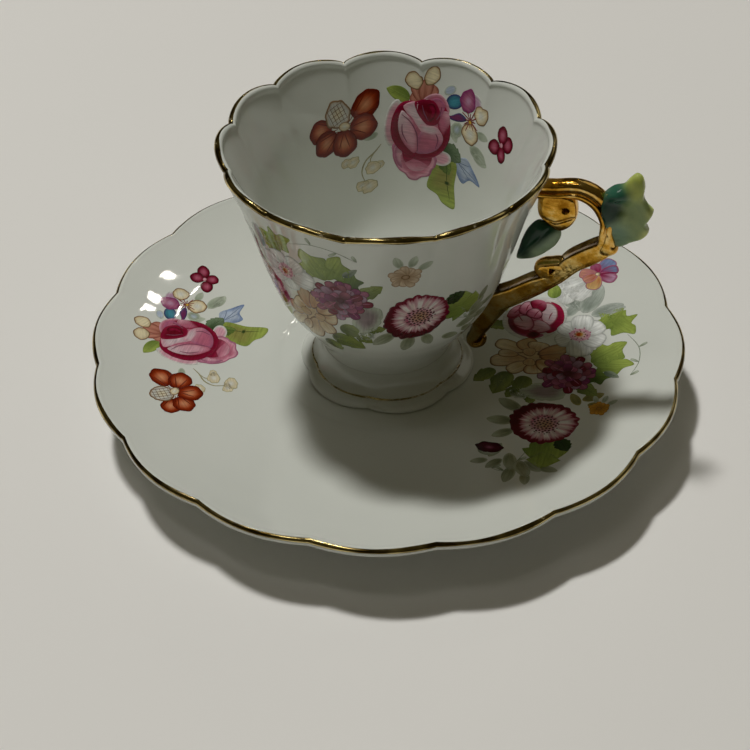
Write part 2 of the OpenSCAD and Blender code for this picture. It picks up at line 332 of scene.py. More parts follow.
def limb(name, points, first, then, change_at, n, sides, grain, shadow_from):
    """A limb in the handle's plane. Its section turns from the first into the second along its way,
    and the second part has a stippled surface. Its colour carries painted shade, darker in its grooves
    and on its inner face, and painted shadow past shadow_from, a share of its way.
    Each point is [x, z, half thickness, half width]."""
    p = smooth(points, n)
    out = sides_of(np.gradient(p[:, :2], axis=0))
    way = np.linspace(0, 1, len(p))
    share = ease((way - change_at) / 0.1)[:, None]
    shapes = [ring_of(s, sides) for s in (first, then)]
    thick, wide = (shapes[0][:, i] + (shapes[1][:, i] - shapes[0][:, i]) * share for i in range(2))
    dent = np.random.default_rng(len(p)).normal(size=thick.shape) * grain * share
    t = p[:, 2:3] * thick + dent * np.sign(thick) * np.abs(thick) ** 3
    y = (p[:, 3:4] + dent) * wide
    points3 = np.stack([p[:, 0:1] + out[:, 0:1] * t, y, p[:, 1:2] + out[:, 1:2] * t], -1).reshape(-1, 3)
    ends = [[p[0, 0], 0, p[0, 1]], [p[-1, 0], 0, p[-1, 1]]]
    count = len(points3)
    faces = quads(len(p), sides)[:, ::-1].tolist()
    faces += fan(count, 0, sides) + fan(count + 1, count - sides, sides, flip=True)
    # Painted shade in the grooves and on the inner face, and painted shadow past shadow_from
    groove = np.where((thick > -0.3) & (thick < 0.1), np.abs(wide), 1.0)
    inner = ease((-0.75 - thick) / 0.2) * share
    dim = 1 - 0.55 * ease((way - shadow_from) / 0.1)[:, None]
    shade = np.append(((0.3 + 0.7 * ease((groove - 0.55) / 0.3) - 0.75 * inner) * dim).ravel(), [1, 0.45])
    return build(name, np.vstack([points3, ends]), faces, np.repeat(shade[:, None], 3, 1))


def slab(name, outline, focus, surfaces, colour, rings=24):
    """A carved piece in the handle's plane. Its rings shrink from its outline to a focus, and
    surfaces(ring's share, x, z) gives how far its near and far faces stand along -Y and +Y, as one array
    if they are alike."""
    share = np.sin(np.linspace(0, np.pi / 2, rings + 1))[1:]
    flat = np.array(focus) + share[:, None, None] * (outline - np.array(focus))
    x, z = flat[..., 0], flat[..., 1]
    stand = surfaces(np.broadcast_to(share[:, None], x.shape), x, z)
    near, far = np.broadcast_to(stand, (2, *x.shape)).copy()
    join = (far[-1] - near[-1]) / 2
    near[-1], far[-1] = -join, join
    front, back = np.stack([x, -near, z], -1), np.stack([x, far, z], -1)
    middles = [[focus[0], -near[0].mean(), focus[1]], [focus[0], far[0].mean(), focus[1]]]
    points = np.vstack([front.reshape(-1, 3), back.reshape(-1, 3), middles])
    n, count = len(outline), x.size
    cells = quads(rings, n)
    k = np.arange(n)
    rim = count - n + np.stack([k, (k + 1) % n, (k + 1) % n + count, k + count], 1)
    faces = np.vstack([cells, cells[:, ::-1] + count, rim]).tolist()
    faces += fan(2 * count, 0, n, flip=True) + fan(2 * count + 1, count, n)
    return build(name, points, faces, colour(points))


def dome(rho, sharpness):
    """How a slab's face falls away to its rim."""
    return np.clip(1 - rho**sharpness, 0, 1) ** 0.5


def near_line(x, z, a, b, width):
    """1 on the straight line from a to b, fading to 0 past its width and its ends."""
    d = np.array(b, float) - a
    length = np.hypot(*d)
    way = ((x - a[0]) * d[0] + (z - a[1]) * d[1]) / length
    off = ((x - a[0]) * d[1] - (z - a[1]) * d[0]) / length
    return np.exp(-((off / width) ** 2)) * ease(way / 1.5 + 0.3) * ease((length - way) / 1.5)


def painted_gold_shade(eye, radius, under):
    """Lustre darkened by painted shade inside a scroll's eye and below a height."""

    def colour(points):
        inside = 1 - ease((np.hypot(points[:, 0] - eye[0], points[:, 2] - eye[1]) - radius) / 0.2)
        below = 1 - ease((points[:, 2] - under) / 0.9)
        return np.repeat(1 - np.maximum(0.9 * inside, 0.6 * below)[:, None], 3, 1)

    return colour


def make_volute():
    """The scroll's inner end: a flat cheek with an eye, over a rolled edge."""
    outline = smooth_loop([
        (29.4, 54), (28.9, 51.4), (29.2, 48.8), (30.8, 46.9), (33.1, 45.5), (35.2, 46.8), (36.4, 49.2),
        (36.3, 51.8), (35.4, 53.8), (32.4, 54.4),
    ], 10)
    eye = (34.3, 51)

    def surfaces(rho, x, z):
        hole = 1.3 * (1 - ease((np.hypot((x - eye[0]) / 1.25, z - eye[1]) - 0.32) / 0.28))
        crease = 0.4 * near_line(x, z, (28.8, 48.9), (33, 47.5), 0.28)
        crease += 0.4 * near_line(x, z, (32.2, 47.5), (36.6, 49.9), 0.28)
        lower = 1 - 0.22 * ease((48.3 - z + 0.5 * np.maximum(x - 33, 0)) / 0.6)
        return np.maximum((half_w - 0.1) * lower * dome(rho, 9) - hole - crease * (rho < 0.98), 0)

    # Painted shade darkens the eye and the rolled edge below the cheek
    return slab("handle_scroll_eye", outline, eye, surfaces, painted_gold_shade(eye, 0.45, 46.9), rings=34)


def make_curl():
    """A small scroll that rises from the top of the lower arm."""
    outline = smooth_loop([
        (29.1, 35.4), (29.2, 37), (30.3, 38), (31.9, 38.5), (33.9, 39), (35.6, 38.6), (34.8, 36.6),
        (32.6, 34.8), (30.6, 34),
    ], 10)
    eye = (32.7, 36.7)

    def surfaces(rho, x, z):
        hole = 1.5 * (1 - ease((np.maximum(abs(x - eye[0]), abs(z - eye[1])) - 0.36) / 0.24))
        return np.maximum((half_w + 0.05) * dome(rho, 6) - hole, 0)

    # Painted shade darkens the eye and the curl's lowest edge
    return slab("handle_lower_curl", outline, eye, surfaces, painted_gold_shade(eye, 0.45, 34))


def make_spur():
    """The scroll's point, under the thumb leaf."""
    outline = smooth_loop([
        (42.2, 48.2), (43.3, 46.6), (43.6, 44.8), (44.5, 42.9), (43.4, 41.7), (41.5, 41.4), (40.6, 42.6),
        (41.4, 45.2),
    ], 10)

    def surfaces(rho, x, z):
        return (half_w + 0.25) * dome(rho, 3)

    return slab("handle_spur", outline, (42.3, 44), surfaces, np.ones_like, rings=16)


def srgb(code):
    """Linear colour from a hex code."""
    c = np.array([int(code[i : i + 2], 16) for i in (1, 3, 5)]) / 255
    return np.where(c <= 0.04045, c / 12.92, ((c + 0.055) / 1.055) ** 2.4)


def palette(codes):
    """Linear colours from hex codes with spaces between them."""
    return [srgb(code) for code in codes.split()]


def blend(a, b, share):
    """A mix of two colours, or of one for each point, by each point's share."""
    return a + (b - a) * np.asarray(share)[..., None]


def spot(points, centre, radius, blur):
    """1 inside a circle of the handle's plane, fading to 0 outside."""
    away = np.hypot(points[:, 0] - centre[0], points[:, 2] - centre[1])
    return 1 - ease((away - radius) / blur)


def thumb_leaf_paint(points):
    """Green glaze, dark teal over the rolled top and round the stalk, and yellow on the tips."""
    body, cool, top, tips, dark_teal, stalk = palette("#96a776 #7f9a86 #aab35c #bcc27c #24594c #0c3428")
    c = blend(body, cool, spot(points, (43, 46.5), 1.5, 4))
    c = blend(c, top, spot(points, (47, 57.8), 1.4, 3))
    edges = np.maximum(spot(points, (50.4, 52.4), 0.4, 2), spot(points, (49.8, 47.4), 0.4, 2.2))
    c = blend(c, tips, edges)
    c = blend(c, dark_teal, 0.95 * spot(points, (43, 55.6), 1.4, 2.4))
    return blend(c, stalk, 0.96 * spot(points, (41.8, 52), 1.5, 2.6))


def inner_leaf_paint(points):
    """Green glaze, with painted shade on the side next to the bowl and near the tip, where it meets the
    bowl.
    """
    body, shaded, tip = palette("#8fa389 #0c3524 #0f2f2a")
    c = blend(body, shaded, 0.97 * (1 - ease((points[:, 0] - points[:, 2] + 14) / 2.6)))
    return blend(c, tip, 0.8 * spot(points, (27.2, 39.6), 0.4, 2.2))


def make_thumb_leaf():
    """A vine leaf: thick and rolled over at its top, thin and smooth below."""
    outline = smooth_loop([
        (41, 55.2), (42.6, 56.9), (44.3, 57.6), (45.3, 59), (46.4, 60.1), (47.5, 59.5), (48.1, 57.5),
        (48.1, 55.3), (48.9, 53.9), (50.1, 52.6), (49.7, 51), (49.1, 49.6), (49.7, 48), (48.7, 46.3),
        (46.8, 45.1), (44.5, 43.6), (42.4, 44.8), (41.8, 48), (40.8, 51), (40.4, 53.4),
    ], 7)

    def hill(x, z, centre, spread, height):
        """A round swelling of the leaf."""
        away = ((x - centre[0]) / spread[0]) ** 2 + ((z - centre[1]) / spread[1]) ** 2
        return height * np.exp(-away)

    def surfaces(rho, x, z):
        rim = dome(rho, 18)
        roll = hill(x, z, (43.4, 55.8), (2.2, 1.5), 1.5) + hill(x, z, (46.8, 57.6), (1.6, 2.6), 0.8)
        roll += hill(x, z, (41.4, 52), (1.9, 3.6), 1.5)
        valley = hill(x, z, (44.2, 52.6), (2.2, 1.6), 0.5)
        plate = 0.35 * np.sin((z - 46) / 2.4) + 0.04 * (x - 45)
        near = (0.85 + roll + plate - valley) * rim
        far = (1.0 - 0.45 * roll + 0.5 * valley) * rim + 0.15 * (1 - rim)
        return np.maximum(near, -0.4), np.maximum(far, 0.45)

    return slab("handle_thumb_leaf", outline, (45, 51), surfaces, thumb_leaf_paint, rings=36)


def make_inner_leaf():
    """A small leaf that hangs from the scroll and touches the bowl with its tip."""
    outline = smooth_loop([
        (29, 47), (30.8, 46.9), (32.8, 46.4), (33.7, 44.6), (33, 42.4), (31.6, 40.7), (30.1, 39.3),
        (28.2, 38.2), (25.9, 37.7), (25.5, 38.3), (25.9, 40.2), (26.4, 42.4), (27.4, 45),
    ], 8)

    def surfaces(rho, x, z):
        vein = 0.3 * near_line(x, z, (31.6, 46.2), (25.6, 37.9), 0.35)
        return np.maximum(1.6 * dome(rho, 3) - vein * (rho < 0.95), 0)

    return slab("handle_inner_leaf", outline, (29.8, 42.2), surfaces, inner_leaf_paint, rings=22)


# ---- laying a flat design on the glaze ----


def plan_lay(centre, turn):
    """Lays a design on the saucer's face. Its origin goes to centre, turned by an angle in degrees."""
    radii, heights, shares = saucer_face.T
    slopes = np.gradient(heights, radii)

    def lay(x, y, lift):
        x, y = turn_by(x, y, turn)
        x, y = x + centre[0], y + centre[1]
        r, angle = np.hypot(x, y), np.arctan2(y, x)
        h, own = lobe(SAUCER_WAVE, angle), r
        # Each pass comes closer to the radius that the point would have without the lobes
        for _ in range(4):
            own = r - np.interp(own, radii, shares) * SAUCER_WAVE.out * h
        z = np.interp(own, radii, heights) + np.interp(own, radii, shares) * SAUCER_WAVE.up * h
        slope = np.interp(own, radii, slopes)
        rise = lift / np.sqrt(1 + slope**2)
        r = r - slope * rise
        return np.stack([r * np.cos(angle), r * np.sin(angle), z + rise], -1)

    return lay


def wall_lay(stations, azimuth, height, turn, inside=False):
    """Lays a design on the cup's wall, its origin at an azimuth and a height, turned by degrees."""
    order = stations[::-1] if inside else stations
    way = np.concatenate([[0], np.cumsum(np.hypot(np.diff(order[:, 0]), np.diff(order[:, 1])))])
    start = np.interp(height, order[:, 1], way)
    hand = -1 if inside else 1
    lean_r, lean_z = np.gradient(order[:, 0], way), np.gradient(order[:, 1], way)

    def lay(x, y, lift):
        right, up = turn_by(x, y, turn)
        up = up + start
        own = np.stack([np.interp(up, way, order[:, i]) for i in range(3)], -1)
        angle = math.radians(azimuth) + hand * right / own[..., 0]
        own[..., 0] += hand * np.interp(up, way, lean_z) * lift
        own[..., 1] -= hand * np.interp(up, way, lean_r) * lift
        return place(own, RIM_WAVE, angle)

    return lay


# Where a shape has its rings, as shares of the way from its focus to its outline
RINGS = np.array([0.22, 0.42, 0.6, 0.74, 0.84, 0.92, 1.0])
FINE_RINGS = np.linspace(0.05, 1, 20)
# How high the paint stands over the glaze, how much each level adds, and where its edges end in the glaze
PRINT_LIFT, LEVEL_LIFT, PRINT_ROOT = 0.012, 0.004, -0.02
STREAK_STEP = 1.37


class Transfer:
    """Painted shapes of a flat design in millimetres, laid on the glaze as one mesh.

    Paint is a function of the ring's share, 0 to 1, and of two places in the shape: along a petal and
    across it, or for a free outline to the right of its focus and above it. A level is how many
    layers of colour lie under a shape.
    """

    def __init__(self, name, lay):
        self.name, self.lay = name, lay
        self.points, self.colours, self.brush, self.faces = [], [], [], []
        self.count = 0

    def add(self, x, y, lifts, colours, brush, faces):
        """Adds one shape. Its tag keeps its brush streaks apart from the other shapes' streaks."""
        tag = np.full(len(x), len(self.points) * STREAK_STEP)
        self.faces += [[i + self.count for i in face] for face in faces]
        self.points.append(self.lay(x, y, lifts))
        self.colours.append(colours)
        self.brush.append(np.stack([*brush, tag], 1))
        self.count += len(x)

    def fill(self, outline, focus, paint, level, at=(0, 0), turn=0, scale=None, rings=RINGS, radial=False):
        """Fills an outline. Scale turns millimetres from the focus into the paint's two places."""
        n = len(outline)
        flat = np.array(focus) + rings[:, None, None] * (outline - np.array(focus, float))
        own = np.vstack([[focus], flat.reshape(-1, 2), outline])
        share = np.concatenate([[0], np.repeat(rings, n), np.ones(n)])
        lifts = np.full(len(own), PRINT_LIFT + LEVEL_LIFT * level)
        lifts[-n:] = PRINT_ROOT
        off = own - focus
        places = scale(off) if scale else off / np.abs(outline - focus).max()
        brush = (np.hypot(*off.T), np.arctan2(off[:, 1], off[:, 0]) * 3) if radial else off.T
        x, y = turn_by(own[:, 0], own[:, 1], turn)
        faces = fan(0, 1, n) + (quads(len(rings) + 1, n)[:, ::-1] + 1).tolist()
        self.add(x + at[0], y + at[1], lifts, paint(share, *places.T), brush, faces)

    def petal(self, at, angle, length, width, paint, level, base=0.6, tip=0.35, teeth=0, depth=0.0, n=36):
        """A petal or leaf that starts at a point and runs along an angle."""
        t = np.linspace(0, 2 * np.pi, n, endpoint=False)
        u = (1 - np.cos(t)) / 2
        top = base / (base + tip)
        half = (u**base * (1 - u) ** tip) / (top**base * (1 - top) ** tip)
        saw = 1 + depth * (1 - 2 * np.mod(teeth * u, 1))
        side = np.where(np.sin(t) >= 0, 1, -1)
        outline = np.stack([u * length, side * half * saw * width / 2], 1)
        focus = np.array([length * top, 0])

        def scale(off):
            return (off + focus) / (length, width / 2)

        self.fill(outline, focus, paint, level, at, angle, scale)

    def patch(self, points, paint, level, at=(0, 0), n=7):
        """A free shape with a smooth outline, painted from its middle."""
        self.fill(smooth_loop(points, n), np.mean(points, axis=0), paint, level, at)

    def disc(self, at, rx, ry, paint, level, turn=0, lobes=0, depth=0.0, n=40, rings=RINGS, radial=False):
        """An ellipse with an uneven, scalloped edge."""
        t = np.linspace(0, 2 * np.pi, n, endpoint=False)
        uneven = 1 + 0.6 * np.sin(3 * t + at[0]) + 0.5 * np.sin(7 * t + 2 * at[1])
        r = 1 + depth * np.abs(np.cos(lobes * t / 2)) * uneven
        outline = np.stack([rx * r * np.cos(t), ry * r * np.sin(t)], 1)
        self.fill(outline, (0, 0), paint, level, at, turn, lambda off: off / (rx, ry), rings, radial)

    def line(self, points, width, colour, level):
        """A pen line through points, thinner at its ends."""
        p = smooth(points, 8)
        n = len(p)
        out = sides_of(np.gradient(p, axis=0))
        half = width / 2 * (1 - 0.6 * np.abs(np.linspace(-1, 1, n)) ** 2)
        edges = np.vstack([p + out * half[:, None] * side for side in (-1, -1, 1, 1)])
        top = PRINT_LIFT + LEVEL_LIFT * level
        lifts = np.repeat([PRINT_ROOT, top, top, PRINT_ROOT], n)
        starts = [row * n + k for row in range(3) for k in range(n - 1)]
        faces = [[i, i + 1, i + n + 1, i + n] for i in starts]
        self.add(*edges.T, lifts, np.tile(colour, (4 * n, 1)), edges.T, faces)

    def dots(self, points, radius, colour, level):
        for p in points:
            self.disc(p, radius, radius, wash(colour, colour), level, n=8, rings=RINGS[-1:])

    def finish(self):
        """The transfer as one object."""
        points, colours, brush = (np.vstack(part) for part in (self.points, self.colours, self.brush))
        return build(self.name, points, self.faces, colours, brush)


# ---- enamel colours and how they are painted ----

GLAZE, WHITE = palette("#c6c8c3 #e2e4e1")
CRIMSON, WINE, PINK, BLUSH = palette("#7e1030 #4a0614 #a85c72 #c2929f")
RUST, DARK_RUST, PEACH = palette("#983611 #5a1407 #c48a64")
CREAM, TAN, BROWN = palette("#d0c5a4 #b0946c #674a2e")
LIME, GREEN, DARK_GREEN, OLIVE = palette("#8f9f4c #677c38 #2c4220 #76753e")
BLUE, PALE_BLUE, NAVY, TEAL = palette("#6b7fa2 #a5b1c2 #383a66 #3b7686")
PURPLE, LILAC, MAUVE, PLUM = palette("#7c3260 #b08ca6 #9c5876 #4c1528")
GREY_GREEN, PALE_GREEN, YELLOW = palette("#87927e #abb3a2 #c09a3c")
DULL, BROWN_GREEN, INK = palette("#7f8c4a #566434 #9a9674")


def rimmed(c, rim, rho, rim_from):
    """Colours that deepen to another one at the rim of their shape."""
    return blend(c, rim, ease((rho - rim_from) / (1.001 - rim_from)))


def penned(c, pen, rho):
    """Colours inside a pen outline, if a pen is given."""
    return c if pen is None else blend(c, pen, 0.85 * (rho > 0.9))


def wash(base, tip, rim=None, rim_from=0.75, pen=None, rays=0, ray=None):
    """Paint that runs from base to tip, with a shaded rim, a pen outline and rays from the base."""

    def paint(rho, u, v):
        c = blend(base, tip, ease(u))
        if rays:
            c = blend(c, ray, 0.7 * ease(np.cos(np.pi * rays * v) * 0.5 + 0.5) * ease((1 - u) * 1.3))
        if rim is not None:
            c = rimmed(c, rim, rho, rim_from)
        return penned(c, pen, rho)

    return paint


def fade(core, rim, rim_from=0.5, lit=None, lit_at=90, pen=None):
    """Paint for a free shape: its core fades into its rim. It is lighter on the side that lit_at faces."""
    lit_x, lit_y = math.cos(math.radians(lit_at)), math.sin(math.radians(lit_at))

    def paint(rho, u, v):
        c = rimmed(core, rim, rho, rim_from)
        if lit is not None:
            c = blend(c, lit, 0.9 * ease((u * lit_x + v * lit_y) * 1.2 + 0.1))
        return penned(c, pen, rho)

    return paint


def glow(body, rim, core, size=0.7, rim_from=0.6, pen=None):
    """Paint with a pale patch in its middle and a deeper rim."""

    def paint(rho, u, v):
        c = blend(rimmed(body, rim, rho, rim_from), core, 0.9 * (1 - ease(np.hypot(u, v) / size)))
        return penned(c, pen, rho)

    return paint


def along(at, angle, distance):
    """The point at a distance from another, along an angle."""
    return shift(at, *turn_by(distance, 0, angle))


def shift(at, x, y):
    """A point moved by x and y."""
    return (at[0] + x, at[1] + y)


def petals(t, at, level, rows, pen=None, rays=2):
    """Petals given as [x, y, angle, length, width, near colour, far colour, rim colour]."""
    for k, (x, y, angle, length, width, near, far, rim) in enumerate(rows):
        paint = wash(near, far, rim, 0.6, pen, rays, rim)
        t.petal(shift(at, x, y), angle, length, width, paint, level + 0.5 * k)


def discs(t, at, level, rows):
    """Discs given as [x, y, half width, half height, paint, levels up, turn, lobes, depth]."""
    for x, y, rx, ry, paint, up, *shape in rows:
        t.disc(shift(at, x, y), rx, ry, paint, level + up, *shape)


# ---- leaves ----


def leaf_paint(light, dark):
    """Paint for a leaf: dark at its stalk and on one side, light at its tip and on the other."""

    def paint(rho, u, v):
        c = blend(dark, light, ease(u * 0.9 + 0.1))
        c = blend(c, light * 1.15, 0.6 * ease(v * 1.5))
        c = blend(c, dark, 0.55 * ease(-v * 1.4) * ease(1.2 - u))
        return blend(c, dark * 0.9, 0.3 * ease((rho - 0.8) / 0.2))

    return paint


def leaf(t, at, angle, length, width, light, dark, level, teeth=4, depth=0.13):
    """A toothed leaf with a dark side and a midrib."""
    t.petal(at, angle, length, width, leaf_paint(light, dark), level, 0.55, 0.8, teeth, depth, n=56)
    vein = dark * 0.7 + light * 0.3
    t.line([at, along(at, angle, 0.85 * length)], 0.14, vein, level + 1)
    for share in (0.2, 0.42, 0.62):
        root = along(at, angle, share * length)
        for side in (-38, 38):
            t.line([root, along(root, angle + side, 0.36 * width)], 0.08, vein, level + 1)


LOBED_LEAF = np.array([
    (0, 0), (0.14, 0.2), (0.16, 0.42), (0.36, 0.3), (0.52, 0.5), (0.62, 0.22), (0.8, 0.2), (1, 0),
    (0.76, -0.14), (0.62, -0.4), (0.4, -0.26), (0.18, -0.36), (0.14, -0.16),
])


def lobed_leaf(t, at, angle, length, light, dark, level):
    """A leaf with five pointed lobes."""
    middle = 0.4

    def scale(off):
        return off / length * (1, 2) + (middle, 0)

    outline = smooth_loop(LOBED_LEAF * length, 4)
    t.fill(outline, (middle * length, 0), leaf_paint(light, dark), level, at, angle, scale)
    for far, aim in ((0.86, 0), (0.6, 38), (0.55, -34)):
        t.line([at, along(at, angle + aim, far * length)], 0.11, dark * 0.6 + light * 0.4, level + 1)


def faint_leaves(t, sites, light=PALE_GREEN, dark=GREY_GREEN, level=0):
    """Plain washed leaves given as [x, y, angle, length]."""
    for x, y, angle, length in sites:
        t.petal((x, y), angle, length, length * 0.5, wash(dark, light, light, 0.6), level, 0.6, 0.7)


def fine_tendril(t, points, level):
    """A thin stem with a small leaf at each point after the first."""
    ink = srgb("#7f8a74")
    t.line(points, 0.17, ink, level)
    for i, p in enumerate(points[1:]):
        t.petal(p, 40 + 110 * (i % 2), 2, 0.7, wash(ink, PALE_GREEN, ink, 0.7), level, n=14)


# ---- flowers of the rose spray ----

PALE_ROSE, HEART = palette("#bea8ae #64081c")
# The rose's petals, lowest first: how each is painted, then its outline
ROSE_PETALS = [
    (fade(BLUSH, GLAZE, 0.7), (-5, 4.9), (-6.4, 3.2), (-7, 0), (-6.7, -2.8), (-5.4, -4.6), (-3.9, -4.8),
     (-3.6, 0), (-4, 4)),
    (fade(BLUSH, GLAZE, 0.6), (3, -4.6), (5.2, -3.8), (6.9, -4.1), (7.3, -5.4), (6, -6.6), (4.2, -6.8),
     (2.8, -6)),
    (fade(PINK, BLUSH, 0.7, CRIMSON, 250), (0.2, 5), (1.2, 6.4), (3.2, 6.8), (5, 5.8), (5.9, 4), (5, 2.4),
     (3, 2.6)),
    (fade(PINK * 1.1, BLUSH * 1.1, 0.45, pen=MAUVE), (-4.4, -3.6), (-5, -5.8), (-4.5, -7.6), (-3.4, -9.1),
     (-2.2, -9.8), (-1.2, -10.8), (0.2, -10.9), (1.3, -10.1), (2.9, -9.5), (3.4, -8.2), (4.1, -7),
     (3.4, -5)),
    (fade(BLUSH, MAUVE, 0.3), (-4.2, -4.2), (-4.5, -6), (-3.9, -7.8), (-2.9, -8.6), (-3.3, -6.8),
     (-3.1, -5), (-2, -4.6)),
    (fade(PINK, PINK, 0.4, BLUSH, 270), (-3, -5.4), (-2.6, -7.4), (-1, -8.9), (1, -8.8), (2.4, -7.6),
     (2.8, -6), (0, -5)),
    (fade(CRIMSON, CRIMSON, 0.4, PINK, 280), (-2.9, -4.6), (-2.9, -6.2), (-2.2, -7.4), (-1.6, -6.4),
     (0, -6.6), (1.5, -7), (2.6, -7.4), (3, -5.4), (0, -4.6)),
    (fade(PINK, CRIMSON, 0.66), (-2.8, 5), (-4.5, 3.9), (-5.5, 1.6), (-5.7, -1.2), (-4.8, -3.6),
     (-2.8, -5.4), (0.2, -6.3), (2.8, -5.8), (5, -4.2), (6.5, -1.4), (6.5, 1.4), (5.7, 3.6), (4.4, 5),
     (2.4, 5.6), (0, 5.4)),
    (fade(HEART, CRIMSON, 0.35), (-2.6, 4.9), (-4.5, 3.8), (-5.6, 1.4), (-5.6, -1.2), (-4.6, -3.8),
     (-2.4, -5.6), (0.4, -6.3), (0.4, -5), (-2, -4.2), (-3.7, -2.2), (-4.3, 0.2), (-3.9, 2.6)),
    (fade(HEART, CRIMSON, 0.35), (-0.4, -6.2), (2.6, -5.9), (4.9, -4.2), (6.4, -1.4), (6.4, 1.6),
     (5.6, 2.6), (5.3, -0.6), (4.2, -3), (2, -4.4), (-0.4, -4.8)),
    (fade(PINK, CRIMSON, 0.5, BLUSH, 40), (3.6, 2), (4.4, 3.6), (5.6, 3.8), (6.3, 2), (5.4, -0.4),
     (4.4, -0.2)),
    (fade(PINK, MAUVE, 0.4), (2, 5.6), (3.6, 5.9), (4.8, 4.8), (4.4, 3), (3.6, 2.2), (3, 4)),
    (fade(PINK, MAUVE, 0.6, BLUSH, 80), (-0.3, -5), (-0.1, -2), (0.9, 0), (2.8, 0.5), (4.5, -0.1),
     (5.2, -1.6), (4.2, -3.6), (2.2, -4.9)),
    (fade(BLUSH, PINK, 0.45, PALE_ROSE, 150), (-3.8, 2.9), (-4.3, 0.6), (-3.8, -1.9), (-2.5, -3.9),
     (-0.6, -5.2), (0.1, -3.6), (-0.2, -1.4), (-1, 0.7), (-2.4, 2.1)),
    (fade(PALE_ROSE, BLUSH, 0.5), (-3.5, 3.9), (-1.9, 5), (-0.5, 5.1), (-0.2, 3.4), (0.6, 1.6),
     (1.5, 0.5), (0.6, -0.6), (-0.5, 0.6), (-1.6, 1.9), (-2.9, 2.8)),
    (fade(PALE_ROSE, BLUSH, 0.4), (0.2, 0.9), (1.6, 0.7), (3.3, 0.7), (4.5, -0.2), (3, -0.9), (1.2, -0.7),
     (0.3, -0.4)),
    (fade(HEART, CRIMSON, 0.45), (-1.4, 5), (0, 5.7), (2.3, 5.5), (3.7, 4.1), (4.1, 2.4), (3.4, 1.1),
     (1.9, 0.8), (0.6, 1.6), (-0.6, 3.1)),
    (fade(CRIMSON, WINE, 0.5), (1.4, 4.7), (2.4, 4.9), (3.1, 3.8), (2.9, 2.4), (2, 1.6), (2.3, 3.2)),
]
ROSE_LINES = [
    [(-3.7, 2.2), (-1.8, 1), (-0.5, -0.9), (-0.1, -3), (0, -4.8)], [(0.2, 4.6), (0.8, 3), (1.8, 1.6)],
    [(3.5, -0.6), (4.1, -1.8), (3.7, -3.6)], [(-3.5, 0.4), (-3.3, -1.4), (-2.2, -3.2)],
    [(4.2, 4.6), (4, 3.2), (3.4, 2)],
]


def cabbage_rose(t, at, level):
    """A full rose with a dark heart to the upper right and a loose petal below."""
    for k, (paint, *outline) in enumerate(ROSE_PETALS):
        t.patch(outline, paint, level + 0.7 * k, at)
    for points in ROSE_LINES:
        t.line([shift(at, *p) for p in points], 0.24, MAUVE * 0.55, level + 13)


def orange_flower(t, at, turn, size, level):
    """Five rust petals round a pale one with a pen-drawn net."""

    def spot_at(angle, distance):
        return along(at, angle + turn, distance * size)

    rust = glow(RUST, DARK_RUST, PEACH, 0.72, 0.4)
    for layer, (angle, distance, rx, ry) in enumerate((
        (178, 5, 2.5, 2.1), (-146, 4.3, 2.6, 2.4), (42, 5.6, 3, 2.5), (-4, 4, 2.7, 2.6),
        (-84, 3.2, 2.7, 2.5),
    ), level):
        t.disc(spot_at(angle, distance), rx * size, ry * size, rust, layer, angle + turn, 5, 0.06)
        for side in (-16, 14):
            ends = [spot_at(angle + side * 0.4, 1.2), spot_at(angle + side, distance + 1)]
            t.line(ends, 0.2, DARK_RUST, layer + 1)
    centre, aim = spot_at(118, 3.1), 118 + turn
    pale = glow(GLAZE * 0.85, TAN, CREAM, 0.8, 0.7, BROWN)
    t.disc(centre, 2.6 * size, 2.5 * size, pale, level + 6, aim, 7, 0.08)
    t.disc(spot_at(60, 0.3), 1.2, 0.9, glow(CREAM, TAN, GLAZE, pen=BROWN), level + 7)
    for k in range(-2, 3):
        root, side_root = along(centre, aim - 90, 0.75 * k), along(centre, aim, 0.8 * k)
        t.line([along(root, aim, -1.9), along(root, aim + 4, 1.9)], 0.13, BROWN, level + 8)
        t.line([along(side_root, aim + 90, 1.7), along(side_root, aim - 86, 1.7)], 0.11, BROWN, level + 8)


def outlined_pair(t, at, level):
    """Two pale petals drawn in pen over a dusty red calyx."""
    red, dark_red = palette("#ae7664 #8a4c40")
    calyx = (155, 3), (122, 4.2), (58, 3.6), (88, 4.4)
    petals(t, at, level, [(0.4, -3.2, angle, far, 3, red, red * 1.1, dark_red) for angle, far in calyx])
    pale = glow(CREAM, TAN, CREAM * 1.1, 0.8, 0.6, pen=BROWN)
    discs(t, at, level, [
        (-2, 0.7, 1.8, 1.6, pale, 3, 20, 4, 0.05), (1.5, 1.7, 1.5, 1.8, pale, 4, -20, 4, 0.05),
    ])


